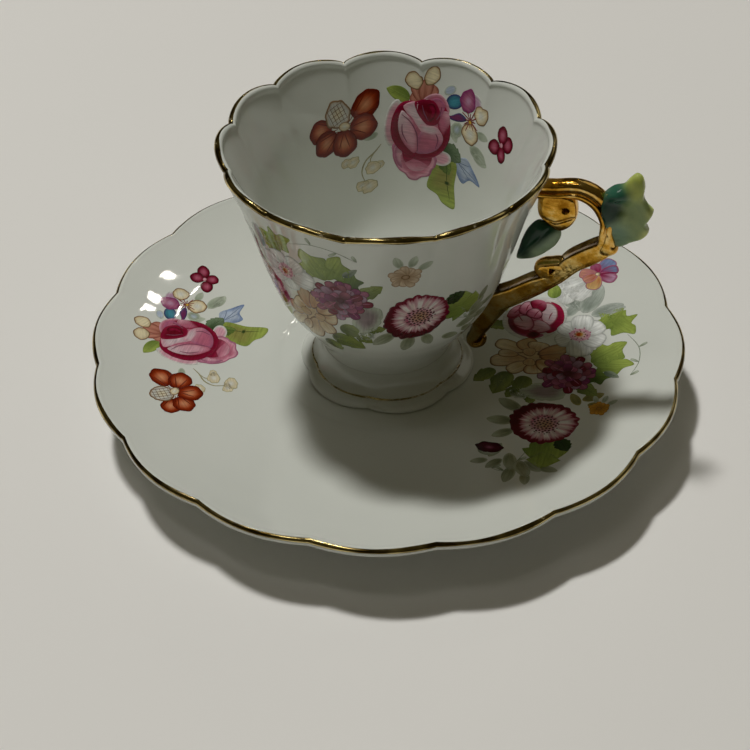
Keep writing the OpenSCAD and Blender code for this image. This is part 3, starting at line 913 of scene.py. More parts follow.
def pansy(t, at, level):
    """A teal, a purple, a lilac and two pen-drawn petals round a veined throat."""
    low = [(-6.2, -0.6), (-4.6, -0.5), (-2.6, 0.5), (-0.9, -0.1), (-2, -0.9), (-4, -1.2)]
    t.patch(low, fade(PURPLE * 0.7, NAVY, 0.4), level, at)
    drawn = glow(CREAM, TAN, GLAZE, 0.8, 0.6, pen=BROWN)
    discs(t, at, level, [
        (-4.1, 2.1, 1.8, 1.3, glow(TEAL, NAVY, TEAL * 1.3, 0.9, 0.5), 1, 20),
        (-5.3, 3.9, 1.3, 0.8, glow(PALE_BLUE, PALE_GREEN, PALE_BLUE), 0, 30),
        (-2.8, -2.6, 1.5, 1.3, glow(GREY_GREEN, PALE_GREEN, PALE_BLUE), 0, 60),
        (0.7, 3.5, 1.7, 1.5, glow(LILAC, GLAZE, LILAC, 0.8, 0.5), 1),
        (-1.1, 3.1, 1.7, 2, glow(MAUVE, PURPLE, LILAC, 0.6, 0.4), 2, -15, 4, 0.1),
        (2.5, 2, 1.7, 1.7, drawn, 3, 30, 4, 0.06),
        (0.4, -2.3, 2, 1.9, drawn, 4, 0, 4, 0.06),
    ])
    for k in range(12):
        vein = [along(at, 30 * k, 0.2), along(at, 30 * k + 8, 1.3 + 0.5 * (k % 3))]
        t.line(vein, 0.2, srgb("#7a2028"), level + 5)
    t.disc(shift(at, 0, -0.2), 0.4, 0.38, wash(YELLOW, YELLOW, BROWN, 0.6), level + 6, n=16)


def small_blossom(t, at, level):
    """A four-petalled crimson blossom."""
    red = glow(CRIMSON, WINE, PINK, 0.8, 0.4)
    discs(t, at, level, [
        (-2, -1.1, 1.7, 1.3, red, 0, 20, 4, 0.04), (0.5, -1.5, 1.4, 1.4, red, 1, 0, 4, 0.04),
        (2, 0.9, 1.8, 1.3, red, 2, 25, 4, 0.04), (-0.2, 1.6, 1.5, 1.5, red, 3, 0, 4, 0.04),
    ])
    t.disc(at, 0.5, 0.45, wash(BLUSH, BLUSH, CRIMSON, 0.6), level + 4, n=16)


def tendril(t, level):
    """Two thin stems with pale, pen-drawn buds."""
    t.line([(-7.4, -3.8), (-8.6, -5.4), (-10.4, -7.2), (-11, -9.4), (-10.2, -11.4)], 0.3, INK, level)
    t.line([(-8.6, -5.4), (-9.4, -7), (-8.8, -8.4)], 0.22, INK, level)
    bud = glow(CREAM * 0.9, CREAM, GLAZE, 0.8, 0.7, pen=INK)
    for x, y, size in (
        (-8.8, -8.6, 1.5), (-9.3, -12.4, 1.6), (-10.8, -12.2, 1.2), (-13, -7, 1.3), (-14.4, -7, 1.1),
        (-7.4, -8, 0.9),
    ):
        t.disc((x, y), size, size * 0.8, bud, level + 1, 25, 3, 0.15)


def rose_spray(t, flower_at, flower_turn, flower_size):
    """The rose design. Its origin is the rose's middle, and up is towards the outlined pair."""
    faint_leaves(t, [
        (11.5, -0.6, -22, 5), (6.6, 1.6, -60, 3.2), (12.6, -2, -12, 4), (-8.2, -1.6, 200, 3),
        (12.6, 2.4, -8, 3.2),
    ])
    wide_leaf = [
        (3, -9), (3.6, -7), (6.4, -4.8), (8.8, -5.6), (8.7, -10), (9.3, -14.4), (6.4, -14.3), (4.9, -12.9),
        (2.6, -11.8),
    ]
    t.patch(wide_leaf, fade(OLIVE * 1.15, LIME * 0.8, 0.4, LIME, 285), 1, n=5)
    t.line([(6.4, -5.4), (6.9, -9.8), (7.9, -13)], 0.16, DARK_GREEN, 2)
    t.disc((6.9, -9.9), 0.7, 0.5, wash(DARK_GREEN, DARK_GREEN, OLIVE, 0.4), 3, n=14)
    blue_leaf = [(8.6, -4.6), (11, -3.3), (13, -5), (15.3, -7.4), (12.4, -7.3), (10.6, -8.6), (9, -7.2)]
    t.patch(blue_leaf, fade(PALE_BLUE, BLUE, 0.3, PALE_BLUE, 120), 0, n=5)
    for end in ((14.2, -6.9), (12.2, -7.2), (12.2, -4.6)):
        t.line([(9, -4.9), end], 0.14, BLUE * 0.6, 1)
    leaf(t, (5.6, -2.6), -26, 4.6, 3.6, srgb("#6b7d62"), DARK_GREEN, 2)
    leaf(t, (5, -4.6), -58, 4.2, 3, GREEN, DARK_GREEN, 2)
    leaf(t, (-2.4, 5.4), 164, 5, 2.4, LIME, GREEN, 0, teeth=0)
    tendril(t, 1)
    outlined_pair(t, (0.1, 8.4), 2)
    pansy(t, (10.8, 3.9), 3)
    orange_flower(t, flower_at, flower_turn, flower_size, 2)
    cabbage_rose(t, (0, 0), 3)


# ---- flowers of the bouquet ----


def edged_daisy(t, at, level):
    """A broad pale flower with a ragged wine-red edge and a heap of seeds."""

    def paint(rho, u, v):
        a = np.arctan2(v, u)
        ragged = 0.03 * np.sin(23 * a) + 0.025 * np.sin(41 * a + 1) + 0.02 * np.sin(67 * a)
        border = 0.75 - 0.12 * np.cos(a - 2.8) + ragged
        c = blend(PINK, srgb("#d3c0be"), ease((rho - 0.3) / 0.2))
        c = blend(c, WHITE, 0.7 * ease(np.sin(9 * a) + 0.3 * np.sin(31 * a)) * ease((rho - 0.36) / 0.15))
        c = blend(c, PINK, 0.55 * ease(np.sin(17 * a + 2) * 1.4) * ease((rho - 0.3) / 0.3))
        c = blend(c, PINK * 0.9, 0.7 * ease((rho - border + 0.16) / 0.16))
        c = blend(c, CRIMSON, ease((rho - border) / 0.05))
        return blend(c, WINE, ease((rho - border) / 0.1) * (0.7 - 0.3 * np.cos(a + 0.3)))

    t.disc(at, 6.5, 6, paint, level, lobes=21, depth=0.05, n=240, rings=FINE_RINGS, radial=True)
    middle = shift(at, 0.3, -0.5)
    t.disc(middle, 2.4, 2.3, glow(srgb("#b08878"), BLUSH, TAN, 0.5, 0.5), level + 1, radial=True)
    t.dots([along(middle, 137.5 * k, 0.38 * math.sqrt(k + 0.3)) for k in range(46)], 0.25, WINE, level + 2)
    t.dots([along(middle, 21 * k + 5, 2.7 + 0.2 * (k % 2)) for k in range(17)], 0.17, WINE, level + 2)


def dahlia(t, at, level):
    """A dense mauve flower of three rows of narrow petals."""
    tones = (MAUVE, PINK * 0.75, LILAC * 0.75, PURPLE, CRIMSON * 0.75)
    for row, (far, length, count) in enumerate(((2, 3.7, 17), (1.1, 3.3, 13), (0.3, 2.5, 9))):
        for k in range(count):
            angle = 360 / count * k + 11 * row + 6 * math.sin(5 * k)
            paint = wash(PLUM, tones[(k * 3 + row) % 5], PLUM, 0.8)
            grown = length * (1 + 0.14 * math.sin(3 * k + row))
            start = along(at, angle, far)
            t.petal(start, angle, grown, 2.1, paint, level + row + 0.3 * (k % 3), n=20)
            if k % 2:
                streak = [along(start, angle, 0.8), along(start, angle + 5, grown * 0.85)]
                t.line(streak, 0.2, MAUVE * 1.3, level + row + 0.9)
    t.disc(at, 0.9, 0.8, wash(PLUM, PLUM, WINE, 0.5), level + 4, n=16)


def white_flower(t, at, level):
    """Six broad white petals, shaded grey, round a pink and yellow throat."""
    shade, pen = palette("#a6acab #b0b4b0")
    sizes = (212, 5.4, 4.6), (148, 5.2, 4.8), (-82, 6.8, 5.6), (-22, 5.6, 5), (42, 5.6, 4.8), (92, 6.2, 4.8)
    petals(t, at, level, [(0, 0, *size, shade, WHITE, GLAZE) for size in sizes], pen, rays=1)
    t.disc(at, 2.2, 1.9, glow(BLUSH, BLUSH, CREAM, 0.8, 0.5), level + 4)
    t.disc(shift(at, -0.2, 0.1), 0.9, 0.8, wash(RUST, YELLOW, TAN, 0.5), level + 5, n=16)
    t.dots([along(at, 25 * k, 1.5 + 0.7 * (k % 2)) for k in range(15)], 0.19, MAUVE, level + 6)
    t.dots([along(at, 40 * k + 12, 1.1) for k in range(9)], 0.17, BROWN, level + 6)


def peach_flower(t, at, level):
    """Overlapping tan petals with brown pen outlines."""
    body, pale, orange, pen = palette("#b49c76 #d0c3a4 #a87c54 #5c3c20")
    t.disc(shift(at, 1.2, 0), 5, 3, wash(body, body), level - 0.5)
    petals(t, at, level, [
        (0, 1.4, 164, 7.4, 3.6, body, pale, body), (0.4, -0.8, 192, 7.8, 4.2, orange, pale, body),
        (1, 1.8, 128, 4.4, 4.6, body, body, orange), (0.6, -1.6, 226, 5.2, 3.4, body, pale, body),
        (1.6, 1.8, 84, 3.2, 4.8, orange, pale, body), (1.6, -1.6, -74, 3.6, 4.6, body, pale, orange),
        (2, 1, 28, 6.4, 3.6, orange, body, orange), (2, -0.8, -28, 5.2, 4.2, body, pale, orange),
        (2.4, 0.4, 2, 7.2, 2.8, orange, body, orange), (-1.6, 0.2, 180, 4.4, 2.4, orange, pale, body),
        (0.8, 0.2, 112, 2.6, 2.8, orange, body, body), (1, -0.4, 262, 2.4, 2.6, orange, body, body),
    ], pen)


# How each petal is painted, then its outline
SIDE_ROSE_PETALS = [
    (fade(PINK, GLAZE, 0.55), (-2, 6.2), (2, 6.8), (5.2, 5), (6.5, 1), (5.4, -3), (2.4, -6), (-2, -6.8),
     (-5.6, -4.6), (-6.7, -0.6), (-5.2, 3.8)),
    (fade(CRIMSON, CRIMSON * 1.3, 0.5), (2.4, 5.6), (4.6, 4.4), (5.9, 1.4), (5.6, -2), (3.6, -4.2),
     (2.4, -3), (3.8, -1), (4.4, 1.4), (3.4, 3.8)),
    (fade(PALE_ROSE, BLUSH, 0.5, GLAZE, 30, pen=CRIMSON), (1, 5), (2.6, 5.2), (4.1, 3.2), (4.4, 0.4),
     (3.4, -1.8), (1.9, -1.2), (0.9, 1.4)),
    (fade(CRIMSON, MAUVE, 0.6, WINE, 200), (-5.6, -1), (-4.6, -4), (-2, -5.9), (1.4, -6), (2.6, -4.8),
     (0, -4.4), (-2.8, -3.4), (-4.4, -0.6)),
    (fade(BLUSH, PINK, 0.5, PALE_ROSE, 60, pen=CRIMSON), (-0.9, -1.6), (0.6, -0.2), (2.8, -1.2),
     (3.8, -3), (2, -4.4), (0, -4)),
    (fade(BLUSH, PINK, 0.5, PALE_ROSE, 120, pen=CRIMSON), (-4.6, -1.2), (-2.8, 0.6), (-0.8, 0),
     (0.2, -2.4), (-1, -4.2), (-3.4, -3.4)),
    (fade(PINK, CRIMSON, 0.4, BLUSH, 150, pen=CRIMSON), (-6, -0.4), (-5.4, 2.4), (-3.8, 3.9), (-2.8, 2.6),
     (-3.4, 0.8), (-4.6, -0.8)),
    (fade(PINK, CRIMSON, 0.6, BLUSH, 100, pen=WINE), (-4, 2.6), (-3, 5), (-1.2, 4.9), (-0.8, 2.4),
     (-1.8, 0.8), (-3.4, 1)),
    (fade(CRIMSON, WINE, 0.6, PINK, 60), (-2, 5), (-0.6, 6), (1.2, 5.4), (1.7, 3.4), (0.6, 1.8),
     (-0.8, 2.6)),
    (fade(PINK, CRIMSON, 0.6, BLUSH, 60, pen=WINE), (-1.8, 2.6), (-0.2, 3.2), (1.2, 1.8), (1, 0.2),
     (-0.8, 0), (-2.2, 1)),
    (fade(WINE, CRIMSON, 0.5), (-0.6, -4.6), (0.6, -3.9), (1.9, -4.8), (0.8, -6.4), (-0.8, -6)),
]


def side_rose(t, at, level):
    """A rose seen from the side, with short crimson strokes."""
    for k, (paint, *outline) in enumerate(SIDE_ROSE_PETALS):
        t.patch(outline, paint, level + 0.6 * k, at)
    for x, y, angle in (
        (-4.2, 1.6, 60), (-2.2, 3, 80), (-0.2, 3.8, 60), (-2.4, -3, 170), (0.6, -3.6, 190), (0, 1.4, 70),
        (-3, -0.4, 120), (3, 1, 80),
    ):
        start = shift(at, x, y)
        stroke = [along(start, angle, -1), along(start, angle + 20, 0.4), along(start, angle, 1.3)]
        t.line(stroke, 0.22, CRIMSON, level + 7)


def lavender_pansy(t, at, level):
    """A pansy with blue-grey upper petals, a magenta band and peach lower petals."""
    peach, sand, magenta = palette("#b88270 #c2a26c #862248")
    rows = (
        (58, 4.8, 3.8, PURPLE, BLUE * 1.2, BLUE), (20, 4.4, 3, PURPLE, BLUE, magenta),
        (112, 3.2, 2.4, magenta, MAUVE, magenta), (338, 4.4, 3, magenta, LILAC, magenta),
        (262, 4.6, 3.4, RUST, sand, sand), (176, 4, 3, PINK, peach, peach),
        (216, 3.4, 2.6, RUST, peach, peach),
    )
    petals(t, at, level, [(0, 0, *row) for row in rows], pen=MAUVE)
    t.line([at, along(at, 8, 2.4), along(at, 4, 4.2)], 0.4, magenta, level + 4)
    t.disc(at, 0.6, 0.5, wash(CREAM, TAN, PLUM, 0.6), level + 4, n=16)


def ochre_daisy(t, at, size, level, near, far):
    """A small daisy with three leaflets."""
    leaflets = [(*along(at, angle, 0.9 * size), angle, 1.1 * size) for angle in (110, 75, 40)]
    faint_leaves(t, leaflets, level=level)
    petals(t, at, level + 0.5, [
        (0, 0, 32.7 * k, size * (0.9 + 0.15 * (k % 2)), 0.56 * size, near, far, near * 0.85)
        for k in range(11)
    ], rays=1)
    t.disc(at, 0.26 * size, 0.22 * size, wash(near, near * 0.8, BROWN, 0.5), level + 6, n=16)


def dark_bud(t, at, level):
    """A bud that lies on its side, dark above and pale below."""
    discs(t, at, level, [
        (0, -0.9, 2.1, 1.5, glow(PALE_GREEN, GREY_GREEN, GLAZE), 0),
        (0, 0, 2.5, 1.5, glow(PLUM, PLUM * 0.5, MAUVE, 0.4, 0.4), 1, 0, 6, 0.1),
    ])
    t.line([shift(at, 1.2, 0.6), shift(at, 2.2, 1.6)], 0.22, GREY_GREEN, level)


def daisy_group(t):
    """The bouquet's lower half: the crimson-edged daisy and what grows round it."""
    t.petal((1.6, -5), -88, 9, 7.6, leaf_paint(LIME * 0.95, GREEN), 0, 0.5, 0.8, 3, 0.2, n=60)
    leaf(t, (3.8, -4.6), -60, 4.2, 3.4, DARK_GREEN, DARK_GREEN * 0.6, 1)
    faint_leaves(t, [
        (-5, 3, 152, 5.6), (-5.8, -0.4, 184, 5.4), (-5.4, -3, 214, 4.6), (-7, -7.4, 250, 4.6),
        (-5, -10, 285, 5.4), (-3, -12, 300, 5.6), (-1.6, -12, 320, 4.6), (-6, -12, 230, 4),
        (1.2, -13.6, 345, 4), (-8.6, -12.6, 200, 3.4), (-3.6, -14, 262, 5), (-1, -15.4, 280, 4),
    ], *palette("#9aa08a #70765a"))
    fine_tendril(t, [(-1.5, -8), (-3, -12), (-5, -15.4), (-7.4, -15)], 0)
    edged_daisy(t, (0, 0), 2)


def flower_group(t):
    """The bouquet's upper half, from the dahlia up to the pansy."""
    for x, y, angle, length, width in (
        (-6, 13.4, -94, 6.4, 4.2), (-9.6, 14, -104, 7.4, 4.6), (-12.6, 14.6, -128, 5.6, 3.4),
        (-4.6, 8.6, -70, 3.6, 2.6), (-11.4, 13, -84, 4.4, 3), (-7.4, 9.6, -110, 3.6, 2.4),
    ):
        leaf(t, (x, y), angle, length, width, DULL, BROWN_GREEN, 0, teeth=3)
    grey, mauve_grey, soft_white = palette("#85797a #8d7e82 #cdd0cd")
    discs(t, (0, 0), 0, [
        (-1.2, 9.4, 4.2, 2.6, glow(grey, PALE_GREEN, mauve_grey, 0.9, 0.3), 1, 10, 6, 0.15),
        (-6.2, 8, 1.8, 1.5, glow(GREY_GREEN, GLAZE, WHITE), 0, 20, 5, 0.15),
    ])
    lobed_leaf(t, (5.2, 14.8), 4, 6.2, GREEN, DARK_GREEN, 0)
    leaf(t, (4.6, 12.6), -38, 5.6, 3.4, DULL, BROWN_GREEN, 1, teeth=3)
    leaf(t, (9.4, 16.6), -30, 3.6, 1.5, GREY_GREEN, srgb("#4b5a4a"), 1, teeth=0)
    for x, y, angle, length in (
        (6.4, 19.2, 46, 9), (6.8, 19, -2, 8.2), (7.6, 33.6, -42, 8.4), (7, 29.4, 62, 7.4),
    ):
        lobed_leaf(t, (x, y), angle, length, LIME, GREEN, 0)
    faint_leaves(t, [
        (2.4, 34.4, 74, 9), (4.2, 33.8, 28, 7), (5.4, 35.2, 10, 5.6), (1.4, 35, 112, 6), (-0.8, 36, 95, 7.4),
        (-3.4, 37.6, 64, 6), (0, 40, 60, 5.4), (-1.2, 33, 60, 5), (3, 39, 84, 5),
    ], *palette("#a9b0a8 #808a80"))
    soft = glow(soft_white, GLAZE, WHITE, 0.8, 0.5)
    for x, y, turn in ((-1.8, 39.6, 84), (-1.4, 42.6, 30), (1, 40.6, 60), (-3.4, 41.4, 110)):
        t.disc((x, y), 2.6, 2.1, soft, 1, turn, 5, 0.1)
    leaf(t, (-4.6, 38.4), 92, 4.4, 2.6, LIME, GREEN, 2, teeth=0)
    leaf(t, (-11, 33), 150, 5.4, 3.2, LIME, GREEN, 0)
    leaf(t, (-12, 28.6), 190, 5, 3, DULL, BROWN_GREEN, 0)
    fine_tendril(t, [(12.4, 28), (15.2, 24), (15.8, 19.4), (14.6, 15.4)], 0)
    side_rose(t, (-7.2, 31.6), 2)
    lavender_pansy(t, (3.6, 46), 3)
    peach_flower(t, (-6.8, 19.4), 2)
    dahlia(t, (2.2, 15.4), 6)
    white_flower(t, (2.8, 27.6), 8)


# Where the designs' origins lie, and how far each design is turned
ROSE_ON_SAUCER = plan_lay((-40.7, -7), 90)
ROSE_IN_CUP = wall_lay(bowl_inside, 88.4, 47.3, 0, inside=True)
BOUQUET_ON_SAUCER = plan_lay((34.7, -13.4), 0)
BUD_ON_SAUCER = plan_lay((25.7, -22.3), 0)
FLOWERS_ON_CUP = wall_lay(bowl_face, -62.3, 36.6, 78)
DAISY_ON_CUP = wall_lay(bowl_face, -62.8, 37.3, 78)
SPRIG_ON_CUP = wall_lay(bowl_face, -69, 49.4, 0)


def saucer_bouquet(t):
    flower_group(t)
    daisy_group(t)
    faint_leaves(t, [(6.4, 7.6, 30, 4.6), (7.6, 6.4, -10, 4.4), (6, 6, 120, 4)], *palette("#8c8650 #6b6a40"))
    ochre_daisy(t, (10, 5.2), 2.1, 1, *palette("#a87420 #c89436"))


def cup_sprig(t):
    ochre_daisy(t, (0, 0), 3.1, 1, *palette("#9e866a #c2b098"))


def rose_with(flower_at, flower_turn, flower_size):
    """The rose design with its orange flower at a place, turned and sized."""
    return lambda t: rose_spray(t, flower_at, flower_turn, flower_size)


def lone_blossom(t):
    small_blossom(t, (19.8, 2.8), 1)


def lone_bud(t):
    dark_bud(t, (0, 0), 1)


# Each transfer: its name, the CAD node it stands for, where it lies and what is drawn. A node's name starts
# with its body's.
TRANSFERS = [
    ("print_saucer_rose", "saucer_rose_spray", ROSE_ON_SAUCER, rose_with((-15.7, -3), 10, 0.9)),
    ("print_saucer_blossom", "saucer_blossom", ROSE_ON_SAUCER, lone_blossom),
    ("print_saucer_bouquet", "saucer_bouquet", BOUQUET_ON_SAUCER, saucer_bouquet),
    ("print_saucer_bud", "saucer_bud", BUD_ON_SAUCER, lone_bud),
    ("print_cup_flowers", "cup_flower_spray", FLOWERS_ON_CUP, flower_group),
    ("print_cup_daisy", "cup_daisy_spray", DAISY_ON_CUP, daisy_group),
    ("print_cup_sprig", "cup_sprig", SPRIG_ON_CUP, cup_sprig),
    ("print_cup_inside", "cup_inside_spray", ROSE_IN_CUP, rose_with((-15.3, 0.4), 0, 1)),
    ("print_cup_inside_blossom", "cup_inside_blossom", ROSE_IN_CUP, lone_blossom),
]


# ---- materials ----


class Shader:
    """A material's node tree, with short ways to add its nodes."""

    def __init__(self, name, **values):
        self.material = bpy.data.materials.new(name)
        self.material.use_nodes = True
        self.tree = self.material.node_tree
        self.surface = self.tree.nodes["Principled BSDF"]
        for socket, value in values.items():
            self.surface.inputs[socket.replace("_", " ")].default_value = value
        self.place = self.node("TexCoord").outputs["Object"]

    def node(self, kind, **values):
        """A new node. A value is a number, or an output to link."""
        node = self.tree.nodes.new("ShaderNode" + kind)
        for socket, value in values.items():
            if isinstance(value, bpy.types.NodeSocket):
                self.tree.links.new(value, node.inputs[socket])
            else:
                node.inputs[socket].default_value = value
        return node

    def set(self, socket, source):
        self.tree.links.new(source, self.surface.inputs[socket])

    def noise(self, scale, detail=2.0, rough=0.5, place=None):
        node = self.node("TexNoise", Scale=scale, Detail=detail, Roughness=rough, Vector=place or self.place)
        return node.outputs["Fac"]

    def attribute(self, name, output):
        node = self.node("Attribute")
        node.attribute_name = name
        return node.outputs[output]

    def ramp(self, source, stops):
        """Colours or levels of grey, each with its position on the source."""
        node = self.node("ValToRGB", Fac=source)
        elements = node.color_ramp.elements
        while len(elements) < len(stops):
            elements.new(0.5)
        for element, (position, colour) in zip(elements, stops):
            element.position = position
            element.color = (*np.broadcast_to(colour, 3), 1)
        return node.outputs["Color"]

    def mix(self, a, b, share, how="MIX"):
        node = self.tree.nodes.new("ShaderNodeMix")
        node.data_type = "RGBA"
        node.blend_type = how
        # Sockets 6 and 7 take the two colours, and 0 takes the share of the second
        for socket, value in ((6, a), (7, b), (0, share)):
            if isinstance(value, bpy.types.NodeSocket):
                self.tree.links.new(value, node.inputs[socket])
            else:
                node.inputs[socket].default_value = value if socket == 0 else (*value, 1)
        return node.outputs[2]

    def bump(self, height, strength, distance, after=None):
        """Dents of a height in metres, over those of an earlier bump."""
        node = self.node("Bump", Strength=strength, Distance=distance, Height=height)
        if after is not None:
            self.tree.links.new(after, node.inputs["Normal"])
        return node.outputs["Normal"]

    def roughen(self, low, high, scale, detail):
        """Roughness that varies between two values."""
        self.set("Roughness", self.ramp(self.noise(scale, detail), [(0.3, low), (0.7, high)]))


def porcelain():
    """White ware under a clear glaze that ripples slightly."""
    s = Shader("porcelain_glaze", IOR=1.55, Specular_IOR_Level=0.6)
    s.set("Base Color", s.ramp(s.noise(22, 3), [(0.3, (0.625, 0.65, 0.605)), (0.7, (0.67, 0.69, 0.645))]))
    s.roughen(0.02, 0.05, 90, 3)
    ripple = s.bump(s.noise(120, 2), 0.035, 0.0008)
    s.set("Normal", s.bump(s.noise(1100, 1), 0.012, 0.0002, ripple))
    return s.material


def bare_clay():
    """Unglazed porcelain: matt, mottled and a little grainy."""
    s = Shader("bare_porcelain")
    tones = list(zip((0.3, 0.6, 0.8), palette("#a99e8d #c8c2b6 #d4d0c8")))
    s.set("Base Color", s.ramp(s.noise(400, 5, 0.7), tones))
    s.roughen(0.65, 0.85, 900, 2)
    s.set("Normal", s.bump(s.noise(2200, 3), 0.4, 0.0002))
    return s.material


def gold_line(name, wear_from, wear_to):
    """Fired gold, rubbed away to the glaze where the noise is high."""
    s = Shader(name)
    # The dark olive and pale patches stand in for the gold's dark reflections and glints: painted reflection
    gold = s.ramp(s.noise(160, 4), [(0.38, srgb("#5e4c22")), (0.62, srgb("#dcc88c"))])
    wear = s.ramp(s.noise(260, 5, 0.7), [(wear_from, 0.0), (wear_to, 1.0)])
    s.set("Base Color", s.mix(gold, (0.46, 0.43, 0.36), wear))
    s.set("Metallic", s.ramp(wear, [(0.0, 1.0), (1.0, 0.0)]))
    s.roughen(0.09, 0.22, 900, 3)
    return s.material


def gold_lustre():
    """Bright liquid gold over the handle, darkened in its hollows by the painted shade in its paint
    attribute.
    """
    s = Shader("gold_lustre", Metallic=1.0)
    tones = list(zip((0.32, 0.48, 0.64), palette("#966414 #d6a03c #f2d084")))
    gold = s.ramp(s.noise(320, 4, 0.6), tones)
    s.set("Base Color", s.mix(gold, s.attribute("paint", "Color"), 1.0, "MULTIPLY"))
    s.roughen(0.1, 0.22, 700, 4)
    pits = s.bump(s.noise(1500, 2), 0.22, 0.0002)
    s.set("Normal", s.bump(s.noise(350, 2), 0.12, 0.0004, pits))
    return s.material


def green_glaze():
    """Coloured glaze that thins and pools over the leaves."""
    s = Shader("green_glaze", IOR=1.5, Specular_IOR_Level=0.32)
    pools = s.ramp(s.noise(300, 4, 0.6), [(0.25, (0.83, 0.9, 0.87)), (0.75, (1.32, 1.29, 1.15))])
    # The paint attribute holds the leaves' colours, with the inner leaf's painted shade
    s.set("Base Color", s.mix(s.attribute("paint", "Color"), pools, 1.0, "MULTIPLY"))
    s.roughen(0.04, 0.12, 500, 3)
    s.set("Normal", s.bump(s.noise(420, 2), 0.15, 0.0005))
    return s.material


def enamel():
    """Printed colours with brush streaks that follow each petal, under a thin gloss."""
    s = Shader("enamel", IOR=1.55, Specular_IOR_Level=0.35)
    stroke = s.node("VectorMath")
    stroke.operation = "MULTIPLY"
    stroke.inputs[1].default_value = (0.3, 2.6, 9.0)
    s.tree.links.new(s.attribute("brush", "Vector"), stroke.inputs[0])
    streaks = s.ramp(s.noise(1.0, 3, 0.6, stroke.outputs["Vector"]), [(0.3, 0.76), (0.7, 1.16)])
    streaked = s.mix(s.attribute("paint", "Color"), streaks, 1.0, "MULTIPLY")
    mottle = s.ramp(s.noise(900, 4, 0.6), [(0.25, 0.96), (0.75, 1.15)])
    s.set("Base Color", s.mix(streaked, mottle, 1.0, "MULTIPLY"))
    s.roughen(0.03, 0.08, 300, 3)
    s.set("Normal", s.bump(s.noise(120, 2), 0.035, 0.0008))
    return s.material


def table_top():
    s = Shader("table", Roughness=0.6)
    s.set("Base Color", s.ramp(s.noise(3, 2), [(0.3, (0.82, 0.81, 0.79)), (0.7, (0.85, 0.84, 0.82))]))
    return s.material


# ---- assembly ----


def fit_out(obj, body, slot, material, *nodes):
    """Gives a piece its material and its body, and hides the CAD nodes it stands for. The slot is not used.
    """
    obj.data.materials.append(material)
    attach(obj, body)
    if nodes:
        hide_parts(*nodes)


def make_ware():
    glaze = porcelain()
    fit_out(make_saucer(), "saucer", "glazed_porcelain", glaze, "saucer")
    fit_out(make_saucer_ring(), "saucer", "bare_porcelain", bare_clay(), "saucer_foot_ring")
    fit_out(make_bowl(), "cup", "glazed_porcelain", glaze, "cup_bowl")
    fit_out(make_foot(), "cup", "glazed_porcelain", glaze, "cup_foot")


def make_gilding():
    rim_gold, foot_gold = gold_line("rim_gold", 0.63, 0.72), gold_line("foot_gold", 0.46, 0.58)
    for seed, (name, body, lip_at, radius, start, end, wave, per_lobe, gold, node) in enumerate((
        ("saucer_gold_line", "saucer", SAUCER_LIP, SAUCER_LIP_R, 18, 76, SAUCER_WAVE, 32, rim_gold,
         "saucer_rim_gilding"),
        ("cup_gold_line", "cup", BOWL_LIP, BOWL_LIP_R, 4, 100, RIM_WAVE, 36, rim_gold, "cup_rim_gilding"),
        ("foot_gold_line", "cup", (14.6, foot_z + 1.5), 0.3, 0, 90, FOOT_LINE_WAVE, 48, foot_gold,
         "cup_foot_gilding"),
    ), 1):
        line = make_gold_line(name, lip_at, radius, start, end, wave, per_lobe, seed)
        fit_out(line, body, "gilding", gold, node)


def make_handle():
    lustre, green = gold_lustre(), green_glaze()
    # Painted shadow darkens the arm's last tenth and the whole tail
    arm = limb("handle_arm", ARM, TUBE_OVER_LEDGE, FLAT_BAND, 0.36, 24, 60, 0.005, shadow_from=0.9)
    tail = limb("handle_lower_tail", TAIL, FLAT_BAND, PLAIN_ROUND, 0.3, 10, 32, 0.01, shadow_from=-0.1)
    for obj, *nodes in (
        (arm, "handle_scroll"), (tail, "handle_tail"), (make_volute(), "handle_volute"),
        (make_curl(), "handle_curl"), (make_spur(),),
    ):
        fit_out(obj, "cup", "gold_lustre", lustre, *nodes)
    fit_out(make_inner_leaf(), "cup", "green_glaze", green, "inner_leaf")
    fit_out(make_thumb_leaf(), "cup", "green_glaze", green, "thumb_leaf")


def make_transfers():
    colours = enamel()
    for name, node, lay, draw in TRANSFERS:
        transfer = Transfer(name, lay)
        draw(transfer)
        fit_out(transfer.finish(), node.split("_")[0], "printed_flowers", colours, node)


# ---- camera, light and table ----

# Where the camera stands round AIM, in degrees and metres, and how far beside AIM it looks
VIEW_AZIMUTH, VIEW_ELEVATION, VIEW_ROLL = 14.12, 41.07, 0.76
VIEW_DISTANCE, VIEW_LENS = 0.3459, 80.5
AIM = (0.0, 0.0, 0.0048)
AIM_OFFSET = (-0.00255, -0.00165)


def make_camera():
    a, e, roll = (math.radians(v) for v in (VIEW_AZIMUTH, VIEW_ELEVATION, VIEW_ROLL))
    back = Vector((math.sin(a) * math.cos(e), -math.cos(a) * math.cos(e), math.sin(e)))
    eye = Vector(AIM) + back * VIEW_DISTANCE
    right = Vector((math.cos(a), math.sin(a), 0))
    target = Vector(AIM) + right * AIM_OFFSET[0] + back.cross(right) * AIM_OFFSET[1]
    back = (eye - target).normalized()
    right = Vector((0, 0, 1)).cross(back).normalized()
    up = back.cross(right)
    level_right = right * math.cos(roll) - up * math.sin(roll)
    level_up = right * math.sin(roll) + up * math.cos(roll)
    camera = bpy.data.cameras.new("camera")
    camera.lens = VIEW_LENS
    camera.clip_start, camera.clip_end = 0.01, 20
    obj = bpy.data.objects.new("camera", camera)
    turn = Matrix((level_right, level_up, back)).transposed()
    obj.matrix_world = Matrix.Translation(eye) @ turn.to_4x4()
    bpy.context.scene.collection.objects.link(obj)
    bpy.context.scene.camera = obj


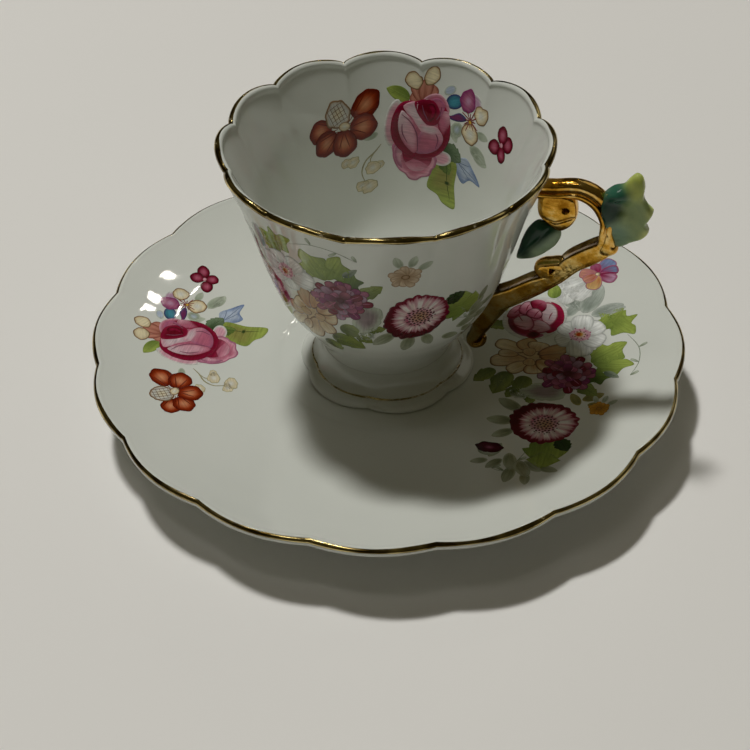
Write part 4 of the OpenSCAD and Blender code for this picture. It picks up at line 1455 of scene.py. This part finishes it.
def area_light(name, direction, distance, size, power, colour, glossy=True):
    """A light that faces the object. Its direction is seen from the camera: right, away and up."""
    light = bpy.data.lights.new(name, "AREA")
    light.shape = "RECTANGLE"
    light.size, light.size_y = size
    light.energy, light.color = power, colour
    obj = bpy.data.objects.new(name, light)
    away = Vector((*turn_by(direction[0], direction[1], VIEW_AZIMUTH), direction[2])).normalized()
    obj.location = away * distance
    obj.rotation_euler = away.to_track_quat("Z", "Y").to_euler()
    obj.visible_glossy = glossy
    bpy.context.scene.collection.objects.link(obj)


# Where four small lamps hang, seen from the camera: right, away and up
LAMPS = [(0.1955, 0.6245, 0.758), (0.203, 0.677, 0.708), (0.1257, 0.665, 0.739), (0.134, 0.697, 0.706)]


def make_lights():
    """A key from behind on the left with its glint, a fill, a front and an overhead light, and lamps."""
    area_light("key", (-0.25, 0.25, 1), 1.6, (0.21, 0.125), 10.8, (1, 0.99, 0.965), glossy=False)
    area_light("key_glint", (-0.25, 0.25, 1), 1.6, (0.13, 0.08), 4.5, (1, 0.98, 0.92))
    area_light("fill", (0.75, 0.8, 0.9), 1.1, (0.5, 0.5), 0.3, (1, 0.96, 0.84))
    area_light("front", (0.25, -0.9, 0.38), 1.5, (0.7, 0.4), 0.25, (1, 0.98, 0.88), glossy=False)
    area_light("overhead", (-0.2, -0.2, 0.95), 1.2, (0.3, 0.12), 0.55, (1, 0.96, 0.9))
    for k, lamp in enumerate(LAMPS):
        area_light(f"lamp_{k}", lamp, 4, (0.03, 0.075), 0.33, (1, 0.95, 0.85))


def make_world():
    """A dim warm room, a little brighter overhead."""
    world = bpy.data.worlds.new("room")
    world.use_nodes = True
    nodes, links = world.node_tree.nodes, world.node_tree.links
    direction = nodes.new("ShaderNodeTexCoord")
    split = nodes.new("ShaderNodeSeparateXYZ")
    ramp = nodes.new("ShaderNodeValToRGB")
    ramp.color_ramp.elements[0].color = (0.02, 0.016, 0.006, 1)
    ramp.color_ramp.elements[1].color = (0.046, 0.039, 0.016, 1)
    links.new(direction.outputs["Generated"], split.inputs[0])
    links.new(split.outputs["Z"], ramp.inputs["Fac"])
    links.new(ramp.outputs["Color"], nodes["Background"].inputs["Color"])
    bpy.context.scene.world = world
    bpy.context.scene.view_settings.view_transform = "Standard"


def make_table():
    far = 3.0
    mesh = bpy.data.meshes.new("table")
    corners = [(x * far, y * far, 0) for x, y in ((-1, -1), (1, -1), (1, 1), (-1, 1))]
    mesh.from_pydata(corners, [], [(0, 1, 2, 3)])
    mesh.materials.append(table_top())
    table = bpy.data.objects.new("table", mesh)
    bpy.context.scene.collection.objects.link(table)


make_camera()
make_ware()
make_gilding()
make_handle()
make_transfers()
make_table()
make_lights()
make_world()
